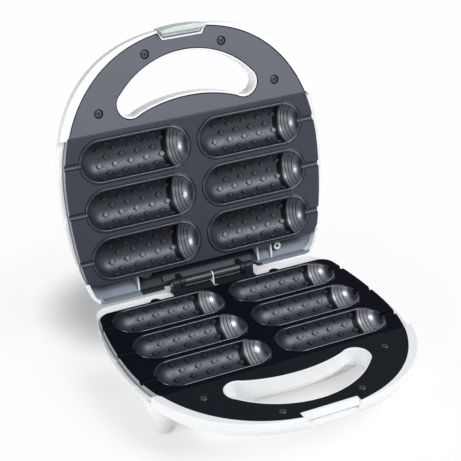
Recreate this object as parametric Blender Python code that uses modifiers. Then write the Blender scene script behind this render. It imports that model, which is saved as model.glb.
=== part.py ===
"""Six-stick waffle maker with a hinged lid, shown open.

Metres, +Z up, X along the hinge, the handles towards -Y. Both halves are drawn from the
mating plane outwards: a depth of zero is where the closed halves meet, and depth grows
down into the base and up into the lid. The lid hangs on an empty on the hinge axis.
"""
import math

import bmesh
import bpy
import numpy as np
from mathutils import Matrix

# Seen from above: one outline serves both casings
HALF_WIDTH = 0.1212
WIDEST_Y = 0.0070
FRONT_REACH = 0.1257
REAR_REACH = 0.0930
SIDE_RADIUS = 0.2400
REAR_CORNER = 0.0130
CASING_POWER = 2.44

# Casing walls, measured in depth from the mating plane
WALL = 0.0025
RIM_STEP = 0.0060
STEP_FROM_PLATE = 0.0010
HANDLE_DEPTH = 0.0180
HANDLE_ROUNDING = 0.0140
BOWL_TOP = 0.0080
BOWL_FRONT_FROM_PLATE = 0.0060
BOWL_POWER = 3.6
BASE_BOWL_DEPTH = 0.0425
BASE_BOWL_INSET = 0.0340
LID_BOWL_DEPTH = 0.0410
LID_BOWL_INSET = 0.0520
LEDGE_INSET = 0.0080
BASE_HEIGHT = 0.0470
# from the outline's own zero to the middle of the open machine's footprint
MIDDLE_Y = 0.0224

# Shares of handle depth and rounding, from the mating plane outwards
HANDLE_PROFILE_SHARES = ((0.0, 0.06), (0.045, 0.0), (0.47, 0.03), (0.72, 0.25), (0.92, 0.6), (1.0, 1.0))
# Shares of the bowl's depth below its top, and of its whole inset
BASE_BOWL_SHARES = ((0.0, 0.03), (0.174, 0.2), (0.406, 0.44), (0.638, 0.63), (0.84, 0.765), (0.957, 0.87), (1.0, 1.0))
LID_BOWL_SHARES = ((0.0, 0.02), (0.18, 0.115), (0.39, 0.235), (0.6, 0.36), (0.79, 0.5), (0.92, 0.66), (1.0, 1.0))
BOWL_FRONT_SHARE = 0.6

# Handle panel and the crescent opening through the handle
HANDLE_LENGTH = 0.0747
PANEL_RIM_SIDE = 0.0059
PANEL_RIM_FRONT = 0.0017
PANEL_POWER = 2.22
PANEL_THICKNESS = 0.0020
PANEL_FACE = 0.0005
PANEL_SEAT_GAP = 0.0003
HANDLE_BAR = 0.0193
OPENING_DEPTH = 0.0384
OPENING_FROM_SIDE = 0.0697
OPENING_END_RADIUS = 0.0125
OPENING_RISE = 0.0172
OPENING_LIP = 0.0018
OPENING_FLARE = 0.0035

# Cooking plate
PLATE_RIM = 0.0051
PLATE_SIDE_RADIUS = 0.3500
REAR_SHELF = 0.0170
PLATE_CORNER = 0.0120
PLATE_WALL = 0.0030
PLATE_SKIRT = 0.0090
TAB_X = 0.0560
TAB_RADIUS = 0.0050
TAB_REACH = 0.0035
MATE_GAP = 0.0002
LIP_HEIGHT = 0.0008
LIP_WIDTH = 0.0026
ROWS = 3
LAND_IN_FRONT = 0.0067
LAND_BEHIND = 0.0045
LAND_BETWEEN_ROWS = 0.0084
CAVITY_INNER_GAP = 0.0055
CAVITY_END_LAND = 0.0161
CAVITY_DEPTH = 0.0135
GROOVE_RADIUS = 0.0028
GROOVE_WALL_RADIUS = 0.0044

# Hinge
HINGE_X = 0.0030
HINGE_FROM_REAR = 0.0029
HINGE_RISE = 0.0013
OPEN_ANGLE = math.radians(103.27)
PIN_RADIUS = 0.0020
PIN_CLEARANCE = 0.0002
BARREL_RADIUS = 0.0036
EYE_RADIUS = 0.0042
BARREL_HALF = 0.0262
WEB_THICKNESS = 0.0012
WEB_RECESS = 0.0004
ARM_WIDTH = 0.0040
KNUCKLE_WIDTH = 0.0072
KNUCKLE_PAD_FRONT = 0.0056
KNUCKLE_PAD_REAR = 0.0024
LEAF_THICKNESS = 0.0014
LEAF_HALF_LENGTH = 0.0425
HINGE_PLATE_HALF = 0.0386
HINGE_PLATE_THICKNESS = 0.0010
HINGE_PLATE_FROM_REAR = 0.0008
HINGE_WINDOW = (0.0070, 0.0026)
RIB_LEFT_OF_LEAF = 0.0225
RIB_RIGHT_OF_LEAF = 0.0060
RIB_PITCH = 0.0130
RIB_THICKNESS = 0.0016
RIB_FROM_REAR = 0.0150
RIB_TOP = 0.0072
LID_BOSS_BESIDE_RIB = 0.0065
LID_BOSS_FROM_REAR = 0.0118
LID_BOSS_RADIUS = 0.0033
LID_BOSS_HOLE = 0.0014

# Latch
LATCH_PIN_Y_FROM_FRONT = 0.0046
LATCH_PIN_DEPTH = 0.0090
LATCH_PIN_RADIUS = 0.0012
LATCH_BOSS_RADIUS = 0.0024
LATCH_HALF_OUTER = 0.0219
LATCH_HALF_INNER = 0.0165
LATCH_BULGE = 0.0020
LATCH_STAND = 0.0012
LATCH_PLATE = 0.0028
LATCH_TOP = 0.0102
LATCH_REACH = 0.0052
LATCH_HOOK = 0.0018
LATCH_NOSE = 0.0014
NOTCH_DEPTH = 0.0077
NOTCH_TOP = 0.0146
CATCH_HALF_TOP = 0.0245
CATCH_HALF_BOTTOM = 0.0190
CATCH_LEDGE = 0.0031
CATCH_LEDGE_Y = 0.0018
CATCH_FACE_Y = 0.0009
CATCH_HEIGHT = 0.0120

# Feet and their pads
FOOT_TOP_RADIUS = 0.0190
FOOT_BOTTOM_RADIUS = 0.0072
FOOT_FROM_SIDE = 0.0242
FRONT_FOOT_FROM_PLATE = 0.0180
REAR_FOOT_FROM_REAR = 0.0220
REAR_FOOT_FROM_SIDE = 0.0340
PAD_RADIUS = 0.0052
PAD_THICKNESS = 0.0017
PAD_RECESS = 0.0010

# Screws
SCREW_HEAD_RADIUS = 0.0030
SCREW_SHANK_RADIUS = 0.0013
SCREW_LENGTH = 0.0095
SCREW_RECESS = 0.0004
BOSS_RADIUS = 0.0042
SIDE_SCREW_FROM_SIDE = 0.0412
SIDE_SCREW_FROM_PLATE = 0.0160
FRONT_SCREW_X = 0.0344
FRONT_SCREW_FROM_FRONT = 0.0178

# Inner parts
ELEMENT_RADIUS = 0.0032
ELEMENT_BEND = 0.0207
ELEMENT_END_LAND = 0.0110
SHIELD_THICKNESS = 0.0008
SHIELD_DROP = 0.0022
THERMOSTAT_RADIUS = 0.0090
THERMOSTAT_HEIGHT = 0.0062
FUSE_RADIUS = 0.0022
FUSE_LENGTH = 0.0140
BLOCK_SIZE = (0.0300, 0.0150, 0.0110)
BUSH_OUTER = 0.0062
BUSH_BORE = 0.0034
BUSH_LENGTH = 0.0190
BUSH_FROM_REAR = 0.0320
BUSH_DEPTH = 0.0285
LENS_RADIUS = 0.0040
LENS_X = 0.0120
LENS_FROM_BOWL_FRONT = 0.0440
LENS_STAND = 0.0008
LAMP_RADIUS = 0.0030
LAMP_LENGTH = 0.0120

# General clearances
SEAT = 0.0003
FIT = 0.0004
OVERRUN = 0.0040

FRONT_STEPS = 10
SIDE_STEPS = 3
CORNER_STEPS = 4

REAR_Y = WIDEST_Y + REAR_REACH
FRONT_Y = WIDEST_Y - FRONT_REACH
PLATE_REAR_Y = REAR_Y - REAR_SHELF
PLATE_FRONT_Y = FRONT_Y + HANDLE_LENGTH
BOWL_FRONT_Y = PLATE_FRONT_Y - BOWL_FRONT_FROM_PLATE
HINGE_Y = REAR_Y - HINGE_FROM_REAR
PLATE_FACE = MATE_GAP + LIP_HEIGHT
LEDGE = PLATE_SKIRT + SEAT
PANEL_BACK = PANEL_FACE + PANEL_THICKNESS
PANEL_SEAT = PANEL_BACK + PANEL_SEAT_GAP
OPENING_HALF_LENGTH = HALF_WIDTH - OPENING_FROM_SIDE
CAVITY_RADIUS = (PLATE_REAR_Y - PLATE_FRONT_Y - LAND_IN_FRONT - LAND_BEHIND - (ROWS - 1) * LAND_BETWEEN_ROWS) / (2 * ROWS)
ROW_PITCH = 2 * CAVITY_RADIUS + LAND_BETWEEN_ROWS
CAVITY_OUTER_X = HALF_WIDTH - PLATE_RIM - CAVITY_END_LAND
CAVITY_X = (CAVITY_INNER_GAP + CAVITY_OUTER_X) / 2
CAVITY_STRAIGHT = (CAVITY_OUTER_X - CAVITY_INNER_GAP) / 2 - CAVITY_RADIUS
TROUGH_DEPTH = CAVITY_DEPTH + PLATE_WALL
SHIELD_DEPTH = PLATE_FACE + TROUGH_DEPTH + SHIELD_DROP
PIN_BORE = PIN_RADIUS + PIN_CLEARANCE
ARM_X = BARREL_HALF + SEAT
KNUCKLE_X = ARM_X + ARM_WIDTH + SEAT
LATCH_PIN_Y = FRONT_Y + LATCH_PIN_Y_FROM_FRONT
LATCH_FACE_Y = FRONT_Y - LATCH_STAND
LEAF_ENDS = (HINGE_X - LEAF_HALF_LENGTH, HINGE_X + LEAF_HALF_LENGTH)
LID_RIBS_X = (LEAF_ENDS[0] - RIB_LEFT_OF_LEAF, LEAF_ENDS[1] + RIB_RIGHT_OF_LEAF,
              LEAF_ENDS[1] + RIB_RIGHT_OF_LEAF + RIB_PITCH)
LID_BOSS = (LID_RIBS_X[-1] + LID_BOSS_BESIDE_RIB, REAR_Y - LID_BOSS_FROM_REAR)
SIDE_SCREW = (HALF_WIDTH - SIDE_SCREW_FROM_SIDE, PLATE_FRONT_Y - SIDE_SCREW_FROM_PLATE)
FRONT_SCREW = (FRONT_SCREW_X, FRONT_Y + FRONT_SCREW_FROM_FRONT)
LENS_Y = BOWL_FRONT_Y + LENS_FROM_BOWL_FRONT

MATERIALS = {
    "casing": ((0.88, 0.89, 0.89), 0.28, 0.0),
    "base_panel": ((0.030, 0.035, 0.045), 0.38, 0.0),
    "lid_panel": ((0.110, 0.125, 0.150), 0.42, 0.0),
    "plate": ((0.022, 0.024, 0.030), 0.32, 0.3),
    "dark_hinge": ((0.045, 0.050, 0.060), 0.45, 0.0),
    "steel": ((0.56, 0.57, 0.58), 0.32, 1.0),
    "dark_steel": ((0.10, 0.105, 0.115), 0.32, 0.9),
    "sleeve": ((0.34, 0.36, 0.38), 0.38, 0.0),
    "latch": ((0.62, 0.65, 0.66), 0.35, 0.0),
    "rubber": ((0.05, 0.05, 0.05), 0.80, 0.0),
    "element": ((0.30, 0.29, 0.28), 0.45, 1.0),
    "ceramic": ((0.80, 0.78, 0.72), 0.55, 0.0),
    "red_lens": ((0.60, 0.04, 0.03), 0.20, 0.0),
    "green_lens": ((0.05, 0.45, 0.10), 0.20, 0.0),
    "lamp_glass": ((0.80, 0.62, 0.50), 0.15, 0.0),
}


def clear_scene():
    for old in list(bpy.data.objects):
        bpy.data.objects.remove(old, do_unlink=True)


def make_collection(name):
    collection = bpy.data.collections.new(name)
    bpy.context.scene.collection.children.link(collection)
    return collection


def material(name):
    found = bpy.data.materials.get(name)
    if found:
        return found
    colour, roughness, metallic = MATERIALS[name]
    made = bpy.data.materials.new(name)
    made.use_nodes = True
    shader = made.node_tree.nodes["Principled BSDF"]
    shader.inputs["Base Color"].default_value = (*colour, 1.0)
    shader.inputs["Roughness"].default_value = roughness
    shader.inputs["Metallic"].default_value = metallic
    made.diffuse_color = (*colour, 1.0)
    return made


class Half:
    """One half of the machine: which way its depth runs and what carries it."""

    def __init__(self, name, sign, carrier, offset):
        self.name = name
        self.sign = sign
        self.carrier = carrier
        self.offset = offset

    def place(self, thing):
        thing.parent = self.carrier
        thing.location = self.offset


# Outlines

def half_outline(half_width, front_reach, power, side_radius, rear_y, corner, front_cut=None):
    """Right half of a closed outline, from the front middle round to the rear middle."""
    if front_cut is None:
        first = 0.0
        points = []
    else:
        # the front is cut straight across: start where the cut meets the curve
        share = (WIDEST_Y - front_cut) / front_reach
        first = math.acos(share ** (power / 2))
        points = []
    for step in range(FRONT_STEPS + 1):
        angle = first + (math.pi / 2 - first) * step / FRONT_STEPS
        x = half_width * math.sin(angle) ** (2 / power)
        y = WIDEST_Y - front_reach * max(math.cos(angle), 0.0) ** (2 / power)
        points.append((x, y))
    # a large arc down the side, then a fillet into the straight rear edge
    fillet_y = rear_y - corner
    fillet_dx = math.sqrt((side_radius - corner) ** 2 - (fillet_y - WIDEST_Y) ** 2)
    fillet_x = half_width - side_radius + fillet_dx
    sweep = math.atan2(fillet_y - WIDEST_Y, fillet_dx)
    for step in range(1, SIDE_STEPS + 1):
        angle = sweep * step / SIDE_STEPS
        points.append((half_width - side_radius * (1 - math.cos(angle)), WIDEST_Y + side_radius * math.sin(angle)))
    for step in range(1, CORNER_STEPS + 1):
        angle = sweep + (math.pi / 2 - sweep) * step / CORNER_STEPS
        points.append((fillet_x + corner * math.cos(angle), fillet_y + corner * math.sin(angle)))
    points.append((0.0, rear_y))
    return points


def whole(points):
    """Mirror a half outline across x = 0 into a closed loop."""
    left = [(-x, y) for x, y in reversed(points) if x > 0.0]
    return points + left


def casing_ring(inset):
    corner = max(REAR_CORNER - inset, REAR_CORNER / 4)
    return whole(half_outline(HALF_WIDTH - inset, FRONT_REACH - inset, CASING_POWER,
                              SIDE_RADIUS - inset, REAR_Y - inset, corner))


def bowl_ring(inset):
    front_reach = WIDEST_Y - BOWL_FRONT_Y - inset * BOWL_FRONT_SHARE
    return whole(half_outline(HALF_WIDTH - inset, front_reach, BOWL_POWER,
                              SIDE_RADIUS - inset, REAR_Y - inset, REAR_CORNER + inset / 2))


def panel_ring(grow, back_y):
    """Handle panel outline: the same curve as the plate's sides, cut straight at the back."""
    half_width = HALF_WIDTH - PANEL_RIM_SIDE + grow
    front_reach = FRONT_REACH - PANEL_RIM_FRONT + grow
    share = (WIDEST_Y - back_y) / front_reach
    last = math.acos(share ** (PANEL_POWER / 2))
    points = []
    for step in range(FRONT_STEPS + 1):
        angle = last * step / FRONT_STEPS
        x = half_width * math.sin(angle) ** (2 / PANEL_POWER)
        y = WIDEST_Y - front_reach * math.cos(angle) ** (2 / PANEL_POWER)
        points.append((x, y))
    return whole(points)


def plate_ring(grow, tabs=True):
    points = half_outline(HALF_WIDTH - PLATE_RIM + grow, FRONT_REACH - PANEL_RIM_FRONT + grow, PANEL_POWER,
                          PLATE_SIDE_RADIUS + grow, PLATE_REAR_Y + grow, PLATE_CORNER + grow,
                          front_cut=PLATE_FRONT_Y - grow)
    if tabs:
        # a rounded tab on the rear edge
        radius = TAB_RADIUS + grow
        centre_y = PLATE_REAR_Y + TAB_REACH - TAB_RADIUS
        reach = math.acos(min((PLATE_REAR_Y + grow - centre_y) / radius, 1.0))
        tab = [(TAB_X + radius * math.sin(angle), centre_y + radius * math.cos(angle))
               for angle in np.linspace(reach, -reach, CORNER_STEPS + 1)]
        points = points[:-1] + tab + points[-1:]
    return whole(points)


def opening_ring(grow):
    """Crescent round the handle opening: a wide arc with a taper towards round ends."""
    middle_y = FRONT_Y + HANDLE_BAR + OPENING_DEPTH / 2
    rise = OPENING_RISE
    radius = (OPENING_HALF_LENGTH ** 2 + rise ** 2) / (2 * rise)
    centre_y = middle_y + radius
    last = math.asin(OPENING_HALF_LENGTH / radius)
    outer = []
    inner = []
    for angle in np.linspace(-last, last, FRONT_STEPS + 1):
        share = (angle / last) ** 2
        half_depth = OPENING_DEPTH / 2 * (1 - share) + OPENING_END_RADIUS * share + grow
        outer.append((math.sin(angle) * (radius + half_depth), centre_y - math.cos(angle) * (radius + half_depth)))
        inner.append((math.sin(angle) * (radius - half_depth), centre_y - math.cos(angle) * (radius - half_depth)))
    end = []
    end_x = math.sin(last) * radius
    end_y = centre_y - math.cos(last) * radius
    for turn in np.linspace(0.0, math.pi, CORNER_STEPS + 3)[1:-1]:
        angle = last - math.pi / 2 + turn
        end.append((end_x + math.cos(angle) * (OPENING_END_RADIUS + grow),
                    end_y + math.sin(angle) * (OPENING_END_RADIUS + grow)))
    start = [(-x, y) for x, y in reversed(end)]
    return outer + end + inner[::-1] + start


def stadium(centre_x, centre_y, straight, radius, steps):
    """A slot outline along X with round ends."""
    right = [(centre_x + straight + radius * math.cos(a), centre_y + radius * math.sin(a))
             for a in np.linspace(-math.pi / 2, math.pi / 2, steps + 1)]
    left = [(2 * centre_x - x, 2 * centre_y - y) for x, y in right]
    return right + left


# Mesh makers

def finish_mesh(name, mesh_data, collection, half):
    thing = bpy.data.objects.new(name, mesh_data)
    collection.objects.link(thing)
    if half is not None:
        half.place(thing)
    if collection is CUTTERS:
        thing.hide_render = True
        thing.display_type = "WIRE"
    return thing


def loft(name, rings, half, collection):
    """Skin a stack of loops, each given as (points, depth), and cap both ends."""
    shape = bmesh.new()
    rows = [[shape.verts.new((x, y, half.sign * depth)) for x, y in ring] for ring, depth in rings]
    for lower, upper in zip(rows, rows[1:]):
        count = len(lower)
        for i in range(count):
            shape.faces.new((lower[i], lower[(i + 1) % count], upper[(i + 1) % count], upper[i]))
    shape.faces.new(rows[0])
    shape.faces.new(rows[-1])
    bmesh.ops.remove_doubles(shape, verts=shape.verts, dist=WELD)
    bmesh.ops.recalc_face_normals(shape, faces=shape.faces)
    data = bpy.data.meshes.new(name)
    shape.to_mesh(data)
    shape.free()
    return finish_mesh(name, data, collection, half)


def flat(name, loops, low, high, half, collection, along="depth"):
    """Extrude closed loops, holes included: through the depth, or sideways along X."""
    curve = bpy.data.curves.new(name, "CURVE")
    curve.dimensions = "2D"
    curve.fill_mode = "BOTH"
    curve.extrude = (high - low) / 2
    for loop in loops:
        spline = curve.splines.new("POLY")
        spline.points.add(len(loop) - 1)
        for point, (u, v) in zip(spline.points, loop):
            point.co = (u, v, 0.0, 1.0)
        spline.use_cyclic_u = True
    source = bpy.data.objects.new(name, curve)
    bpy.context.scene.collection.objects.link(source)
    graph = bpy.context.evaluated_depsgraph_get()
    data = bpy.data.meshes.new_from_object(source.evaluated_get(graph))
    bpy.data.objects.remove(source, do_unlink=True)
    bpy.data.curves.remove(curve)
    middle = (low + high) / 2
    if along == "depth":
        turn = Matrix(((1, 0, 0, 0), (0, 1, 0, 0), (0, 0, half.sign, half.sign * middle), (0, 0, 0, 1)))
    else:
        turn = Matrix(((0, 0, 1, middle), (1, 0, 0, 0), (0, half.sign, 0, 0), (0, 0, 0, 1)))
    shape = bmesh.new()
    shape.from_mesh(data)
    bmesh.ops.transform(shape, matrix=turn, verts=shape.verts)
    bmesh.ops.remove_doubles(shape, verts=shape.verts, dist=WELD)
    bmesh.ops.recalc_face_normals(shape, faces=shape.faces)
    shape.to_mesh(data)
    shape.free()
    data.name = name
    return finish_mesh(name, data, collection, half)


def rod(name, radius, length, centre, half, collection, axis="Z", far_radius=None, sides=20):
    """A cylinder or cone from a primitive. The centre is (x, y, depth)."""
    turn = {"X": Matrix.Rotation(math.pi / 2, 4, "Y"), "Y": Matrix.Rotation(-math.pi / 2, 4, "X"),
            "Z": Matrix.Identity(4)}[axis]
    x, y, depth = centre
    # half a step of spin keeps corners off the planes that the rod crosses
    spin = Matrix.Rotation(math.pi / sides, 4, "Z")
    place = Matrix.Translation((x, y, half.sign * depth)) @ turn @ spin
    shape = bmesh.new()
    bmesh.ops.create_cone(shape, cap_ends=True, segments=sides, radius1=radius,
                          radius2=radius if far_radius is None else far_radius, depth=length, matrix=place)
    data = bpy.data.meshes.new(name)
    shape.to_mesh(data)
    shape.free()
    return finish_mesh(name, data, collection, half)


def block(name, low, high, half, collection):
    """A box between two corners given as (x, y, depth)."""
    size = [b - a for a, b in zip(low, high)]
    centre = [(a + b) / 2 for a, b in zip(low, high)]
    place = Matrix.Translation((centre[0], centre[1], half.sign * centre[2])) @ Matrix.Diagonal((*size, 1.0))
    shape = bmesh.new()
    bmesh.ops.create_cube(shape, size=1.0, matrix=place)
    data = bpy.data.meshes.new(name)
    shape.to_mesh(data)
    shape.free()
    return finish_mesh(name, data, collection, half)


def turned(name, profile, centre, half, collection, steps=20, axis="depth"):
    """Spin a profile of (radius, depth) points about its own axis. The profile runs from
    the mating side outwards; a profile that starts and ends off the axis is closed."""
    data = bpy.data.meshes.new(name)
    points = [(radius, 0.0, -depth) for radius, depth in profile]
    edges = [(i, i + 1) for i in range(len(points) - 1)]
    if profile[0][0] > 0.0:
        edges.append((len(points) - 1, 0))
    data.from_pydata(points, edges, [])
    thing = finish_mesh(name, data, collection, half)
    x, y, depth = centre
    offset = half.offset
    thing.location = (offset[0] + x, offset[1] + y, offset[2] + half.sign * depth)
    if axis == "rear":
        thing.rotation_euler.x = math.pi / 2
    elif half.sign > 0:
        thing.rotation_euler.x = math.pi
    spin = thing.modifiers.new("spin", "SCREW")
    spin.axis = "Z"
    spin.steps = steps
    spin.render_steps = steps
    spin.use_merge_vertices = True
    spin.merge_threshold = WELD
    spin.use_smooth_shade = True
    return thing


def combine(target, tool, operation="DIFFERENCE"):
    step = target.modifiers.new(operation.lower(), "BOOLEAN")
    step.operation = operation
    step.solver = "EXACT"
    step.object = tool
    return target


def settle(thing, surface):
    """Fix a finished piece's mesh while the lid is still closed, then give it its material
    and its shading. Its cutters then lie square to it, which keeps the cuts exact."""
    bpy.context.view_layer.update()
    graph = bpy.context.evaluated_depsgraph_get()
    data = bpy.data.meshes.new_from_object(thing.evaluated_get(graph))
    data.name = thing.name
    shape = bmesh.new()
    shape.from_mesh(data)
    bmesh.ops.triangulate(shape, faces=[face for face in shape.faces if len(face.verts) > 4])
    shape.to_mesh(data)
    shape.free()
    thing.modifiers.clear()
    thing.data = data
    thing.data.materials.clear()
    thing.data.materials.append(material(surface))
    if len(thing.data.polygons):
        thing.data.shade_smooth()
        thing.data.set_sharp_from_angle(angle=SHARP_ANGLE)
    return thing


# Casings

def profile_rings(ring, shares, top, depth, inset):
    return [(ring(inset * inset_share), top + (depth - top) * depth_share)
            for depth_share, inset_share in shares]


def bowl_inside(shares, depth, inset):
    """The bowl's inner face: each outer section moved in and up by the wall."""
    rings = [(bowl_ring(LEDGE_INSET), LEDGE - OVERRUN / 2)]
    for depth_share, inset_share in shares[1:]:
        level = BOWL_TOP + (depth - BOWL_TOP) * depth_share - WALL
        if level > LEDGE:
            rings.append((bowl_ring(inset * inset_share + WALL), level))
    return rings


def handle_hollow(half):
    """The space inside the handle: round the opening's wall and the screw bosses."""
    rings = [(casing_ring(WALL + HANDLE_ROUNDING * HANDLE_PROFILE_SHARES[0][1]), PANEL_BACK)]
    for depth_share, inset_share in HANDLE_PROFILE_SHARES[2:]:
        rings.append((casing_ring(WALL + HANDLE_ROUNDING * inset_share), HANDLE_DEPTH * depth_share - WALL))
    rings = [rings[0]] + [pair for pair in rings[1:] if pair[1] > PANEL_BACK]
    hollow = loft(half.name + "_handle_hollow", rings, half, CUTTERS)
    web = block(half.name + "_handle_web", (-HALF_WIDTH, BOWL_FRONT_Y, 0.0),
                (HALF_WIDTH, REAR_Y + OVERRUN, HANDLE_DEPTH + OVERRUN), half, CUTTERS)
    combine(hollow, web)
    sleeve = flat(half.name + "_opening_wall", [opening_ring(WALL - OPENING_LIP)], 0.0,
                  HANDLE_DEPTH + OVERRUN, half, CUTTERS)
    combine(hollow, sleeve)
    combine(hollow, block(half.name + "_latch_walls", (-CATCH_HALF_TOP - WALL, FRONT_Y - OVERRUN, 0.0),
                          (CATCH_HALF_TOP + WALL, FRONT_Y + NOTCH_DEPTH + NOTCH_DEPTH / 5 + WALL,
                           HANDLE_DEPTH + OVERRUN), half, CUTTERS))
    for index, (x, y) in enumerate(screw_places()):
        boss = rod(f"{half.name}_boss_{index}", BOSS_RADIUS, HANDLE_DEPTH, (x, y, HANDLE_DEPTH / 2 + PANEL_BACK),
                   half, CUTTERS, sides=12)
        combine(hollow, boss)
    return hollow


def screw_places():
    return [(side * x, y) for x, y in (SIDE_SCREW, FRONT_SCREW) for side in (-1, 1)]


def make_casing(half, shares, bowl_depth, bowl_inset):
    name = half.name + "_casing"
    casing = loft(name, profile_rings(casing_ring, HANDLE_PROFILE_SHARES, 0.0, HANDLE_DEPTH, HANDLE_ROUNDING),
                  half, PARTS)
    bowl = loft(name + "_bowl", profile_rings(bowl_ring, shares, BOWL_TOP, bowl_depth, bowl_inset), half, CUTTERS)
    combine(casing, bowl, "UNION")
    if half.name == "base":
        for index, (x, y) in enumerate(foot_places()):
            height = BASE_HEIGHT - PAD_RECESS - BOWL_TOP
            foot = rod(f"{name}_foot_{index}", FOOT_BOTTOM_RADIUS, height, (x, y, BOWL_TOP + height / 2),
                       half, CUTTERS, far_radius=FOOT_TOP_RADIUS)
            combine(casing, foot, "UNION")
        web = flat(name + "_hinge_web", [knuckle_outline(BARREL_RADIUS - WEB_RECESS, OVERRUN)],
                   HINGE_X - WEB_THICKNESS / 2, HINGE_X + WEB_THICKNESS / 2, half, CUTTERS, along="side")

    # the rim beside and behind the plate is lower than the handle
    step_y = PLATE_FRONT_Y + STEP_FROM_PLATE
    combine(casing, block(name + "_rim_step", (-HALF_WIDTH - OVERRUN, step_y, -OVERRUN),
                          (HALF_WIDTH + OVERRUN, REAR_Y + OVERRUN, RIM_STEP), half, CUTTERS))
    combine(casing, flat(name + "_plate_pocket", [plate_ring(FIT, tabs=False)], -OVERRUN, LEDGE, half, CUTTERS))
    for side in (-1, 1):
        combine(casing, rod(f"{name}_tab_pocket_{side}", TAB_RADIUS + FIT, LEDGE + OVERRUN,
                            (side * TAB_X, PLATE_REAR_Y + TAB_REACH - TAB_RADIUS, (LEDGE - OVERRUN) / 2),
                            half, CUTTERS))
    combine(casing, flat(name + "_panel_pocket", [panel_ring(FIT, PLATE_FRONT_Y)], -OVERRUN,
                         PANEL_SEAT, half, CUTTERS))
    combine(casing, handle_hollow(half))
    combine(casing, loft(name + "_inside", bowl_inside(shares, bowl_depth, bowl_inset), half, CUTTERS))

    # a white lip stands round the opening, flush with the panel
    lip = flat(name + "_opening_lip", [opening_ring(-FIT / 2)], PANEL_FACE, PANEL_SEAT + SEAT, half, CUTTERS)
    combine(casing, lip, "UNION")
    opening = loft(name + "_opening", [(opening_ring(-OPENING_LIP), -OVERRUN),
                                       (opening_ring(-OPENING_LIP), HANDLE_DEPTH * 0.6),
                                       (opening_ring(OPENING_FLARE - OPENING_LIP), HANDLE_DEPTH),
                                       (opening_ring(OPENING_FLARE), HANDLE_DEPTH + OVERRUN)], half, CUTTERS)
    combine(casing, opening)
    for index, (x, y) in enumerate(screw_places()):
        combine(casing, rod(f"{name}_screw_hole_{index}", SCREW_SHANK_RADIUS + SEAT, SCREW_LENGTH + OVERRUN,
                            (x, y, (SCREW_LENGTH + SEAT) / 2), half, CUTTERS, sides=12))
    if half.name == "base":
        combine(casing, web, "UNION")
        combine(casing, rod(name + "_web_bore", PIN_BORE, WEB_THICKNESS + OVERRUN, (HINGE_X, HINGE_Y, -HINGE_RISE),
                            half, CUTTERS, axis="X"))
        cut_catch(casing, half)
        cut_base_holes(casing, half)
    else:
        cut_lid_rear(casing, half, shares, bowl_depth, bowl_inset)
        cut_latch_notch(casing, half)
        cut_lens_holes(casing, half, bowl_depth)
    return settle(casing, "casing")


def foot_places():
    front_x = HALF_WIDTH - FOOT_FROM_SIDE
    rear_x = HALF_WIDTH - REAR_FOOT_FROM_SIDE
    front_y = PLATE_FRONT_Y + FRONT_FOOT_FROM_PLATE
    rear_y = REAR_Y - REAR_FOOT_FROM_REAR
    return [(side * x, y) for x, y in ((front_x, front_y), (rear_x, rear_y)) for side in (-1, 1)]


def wedge(name, sections, half):
    """A cutter with trapezoid sections, each (half width back, half width front, back y, front y, depth)."""
    rings = []
    for back, front, back_y, front_y, depth in sections:
        rings.append(([(-front, front_y), (front, front_y), (back, back_y), (-back, back_y)], depth))
    return loft(name, rings, half, CUTTERS)


def cut_catch(casing, half):
    """The catch in the base: a ramp down to a ledge, with room under it for the latch hook."""
    out_y = FRONT_Y - OVERRUN
    top_y = FRONT_Y + NOTCH_DEPTH + NOTCH_DEPTH / 5
    ledge_y = FRONT_Y + CATCH_LEDGE_Y
    middle = (CATCH_HALF_TOP + CATCH_HALF_BOTTOM) / 2
    ramp = wedge("catch_ramp", [
        (CATCH_HALF_TOP, CATCH_HALF_TOP, top_y, out_y, -SEAT),
        (middle, middle, ledge_y, out_y, CATCH_LEDGE),
        (CATCH_HALF_BOTTOM, CATCH_HALF_BOTTOM, FRONT_Y + CATCH_FACE_Y, out_y, CATCH_HEIGHT)], half)
    combine(casing, ramp)
    hook_room = block("catch_undercut", (-middle, out_y, CATCH_LEDGE),
                      (middle, LATCH_FACE_Y + LATCH_PLATE + LATCH_NOSE + FIT, LATCH_REACH + FIT), half, CUTTERS)
    return combine(casing, hook_room)


def cut_latch_notch(casing, half):
    back_y = FRONT_Y + NOTCH_DEPTH
    out_y = FRONT_Y - OVERRUN
    outer = LATCH_HALF_OUTER + FIT
    inner = LATCH_HALF_INNER + FIT
    spread = (outer - inner) * OVERRUN / NOTCH_DEPTH
    notch = wedge("latch_notch", [(inner, outer + spread, back_y, out_y, -OVERRUN),
                                  (inner, outer + spread, back_y, out_y, NOTCH_TOP)], half)
    combine(casing, notch)
    pin_hole = rod("latch_pin_hole", LATCH_PIN_RADIUS + PIN_CLEARANCE, 2 * LATCH_HALF_OUTER + 2 * OVERRUN,
                   (0.0, LATCH_PIN_Y, LATCH_PIN_DEPTH), half, CUTTERS, axis="X", sides=12)
    return combine(casing, pin_hole)


def cut_base_holes(casing, half):
    for index, (x, y) in enumerate(foot_places()):
        combine(casing, rod(f"pad_recess_{index}", PAD_RADIUS + SEAT, PAD_RECESS + OVERRUN,
                            (x, y, BASE_HEIGHT - PAD_RECESS - PAD_RECESS / 2 + OVERRUN / 2), half, CUTTERS))
    combine(casing, rod("cord_hole", BUSH_OUTER + SEAT, REAR_SHELF + REAR_SHELF, (0.0, REAR_Y - REAR_SHELF, BUSH_DEPTH),
                        half, CUTTERS, axis="Y"))
    return casing


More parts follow.
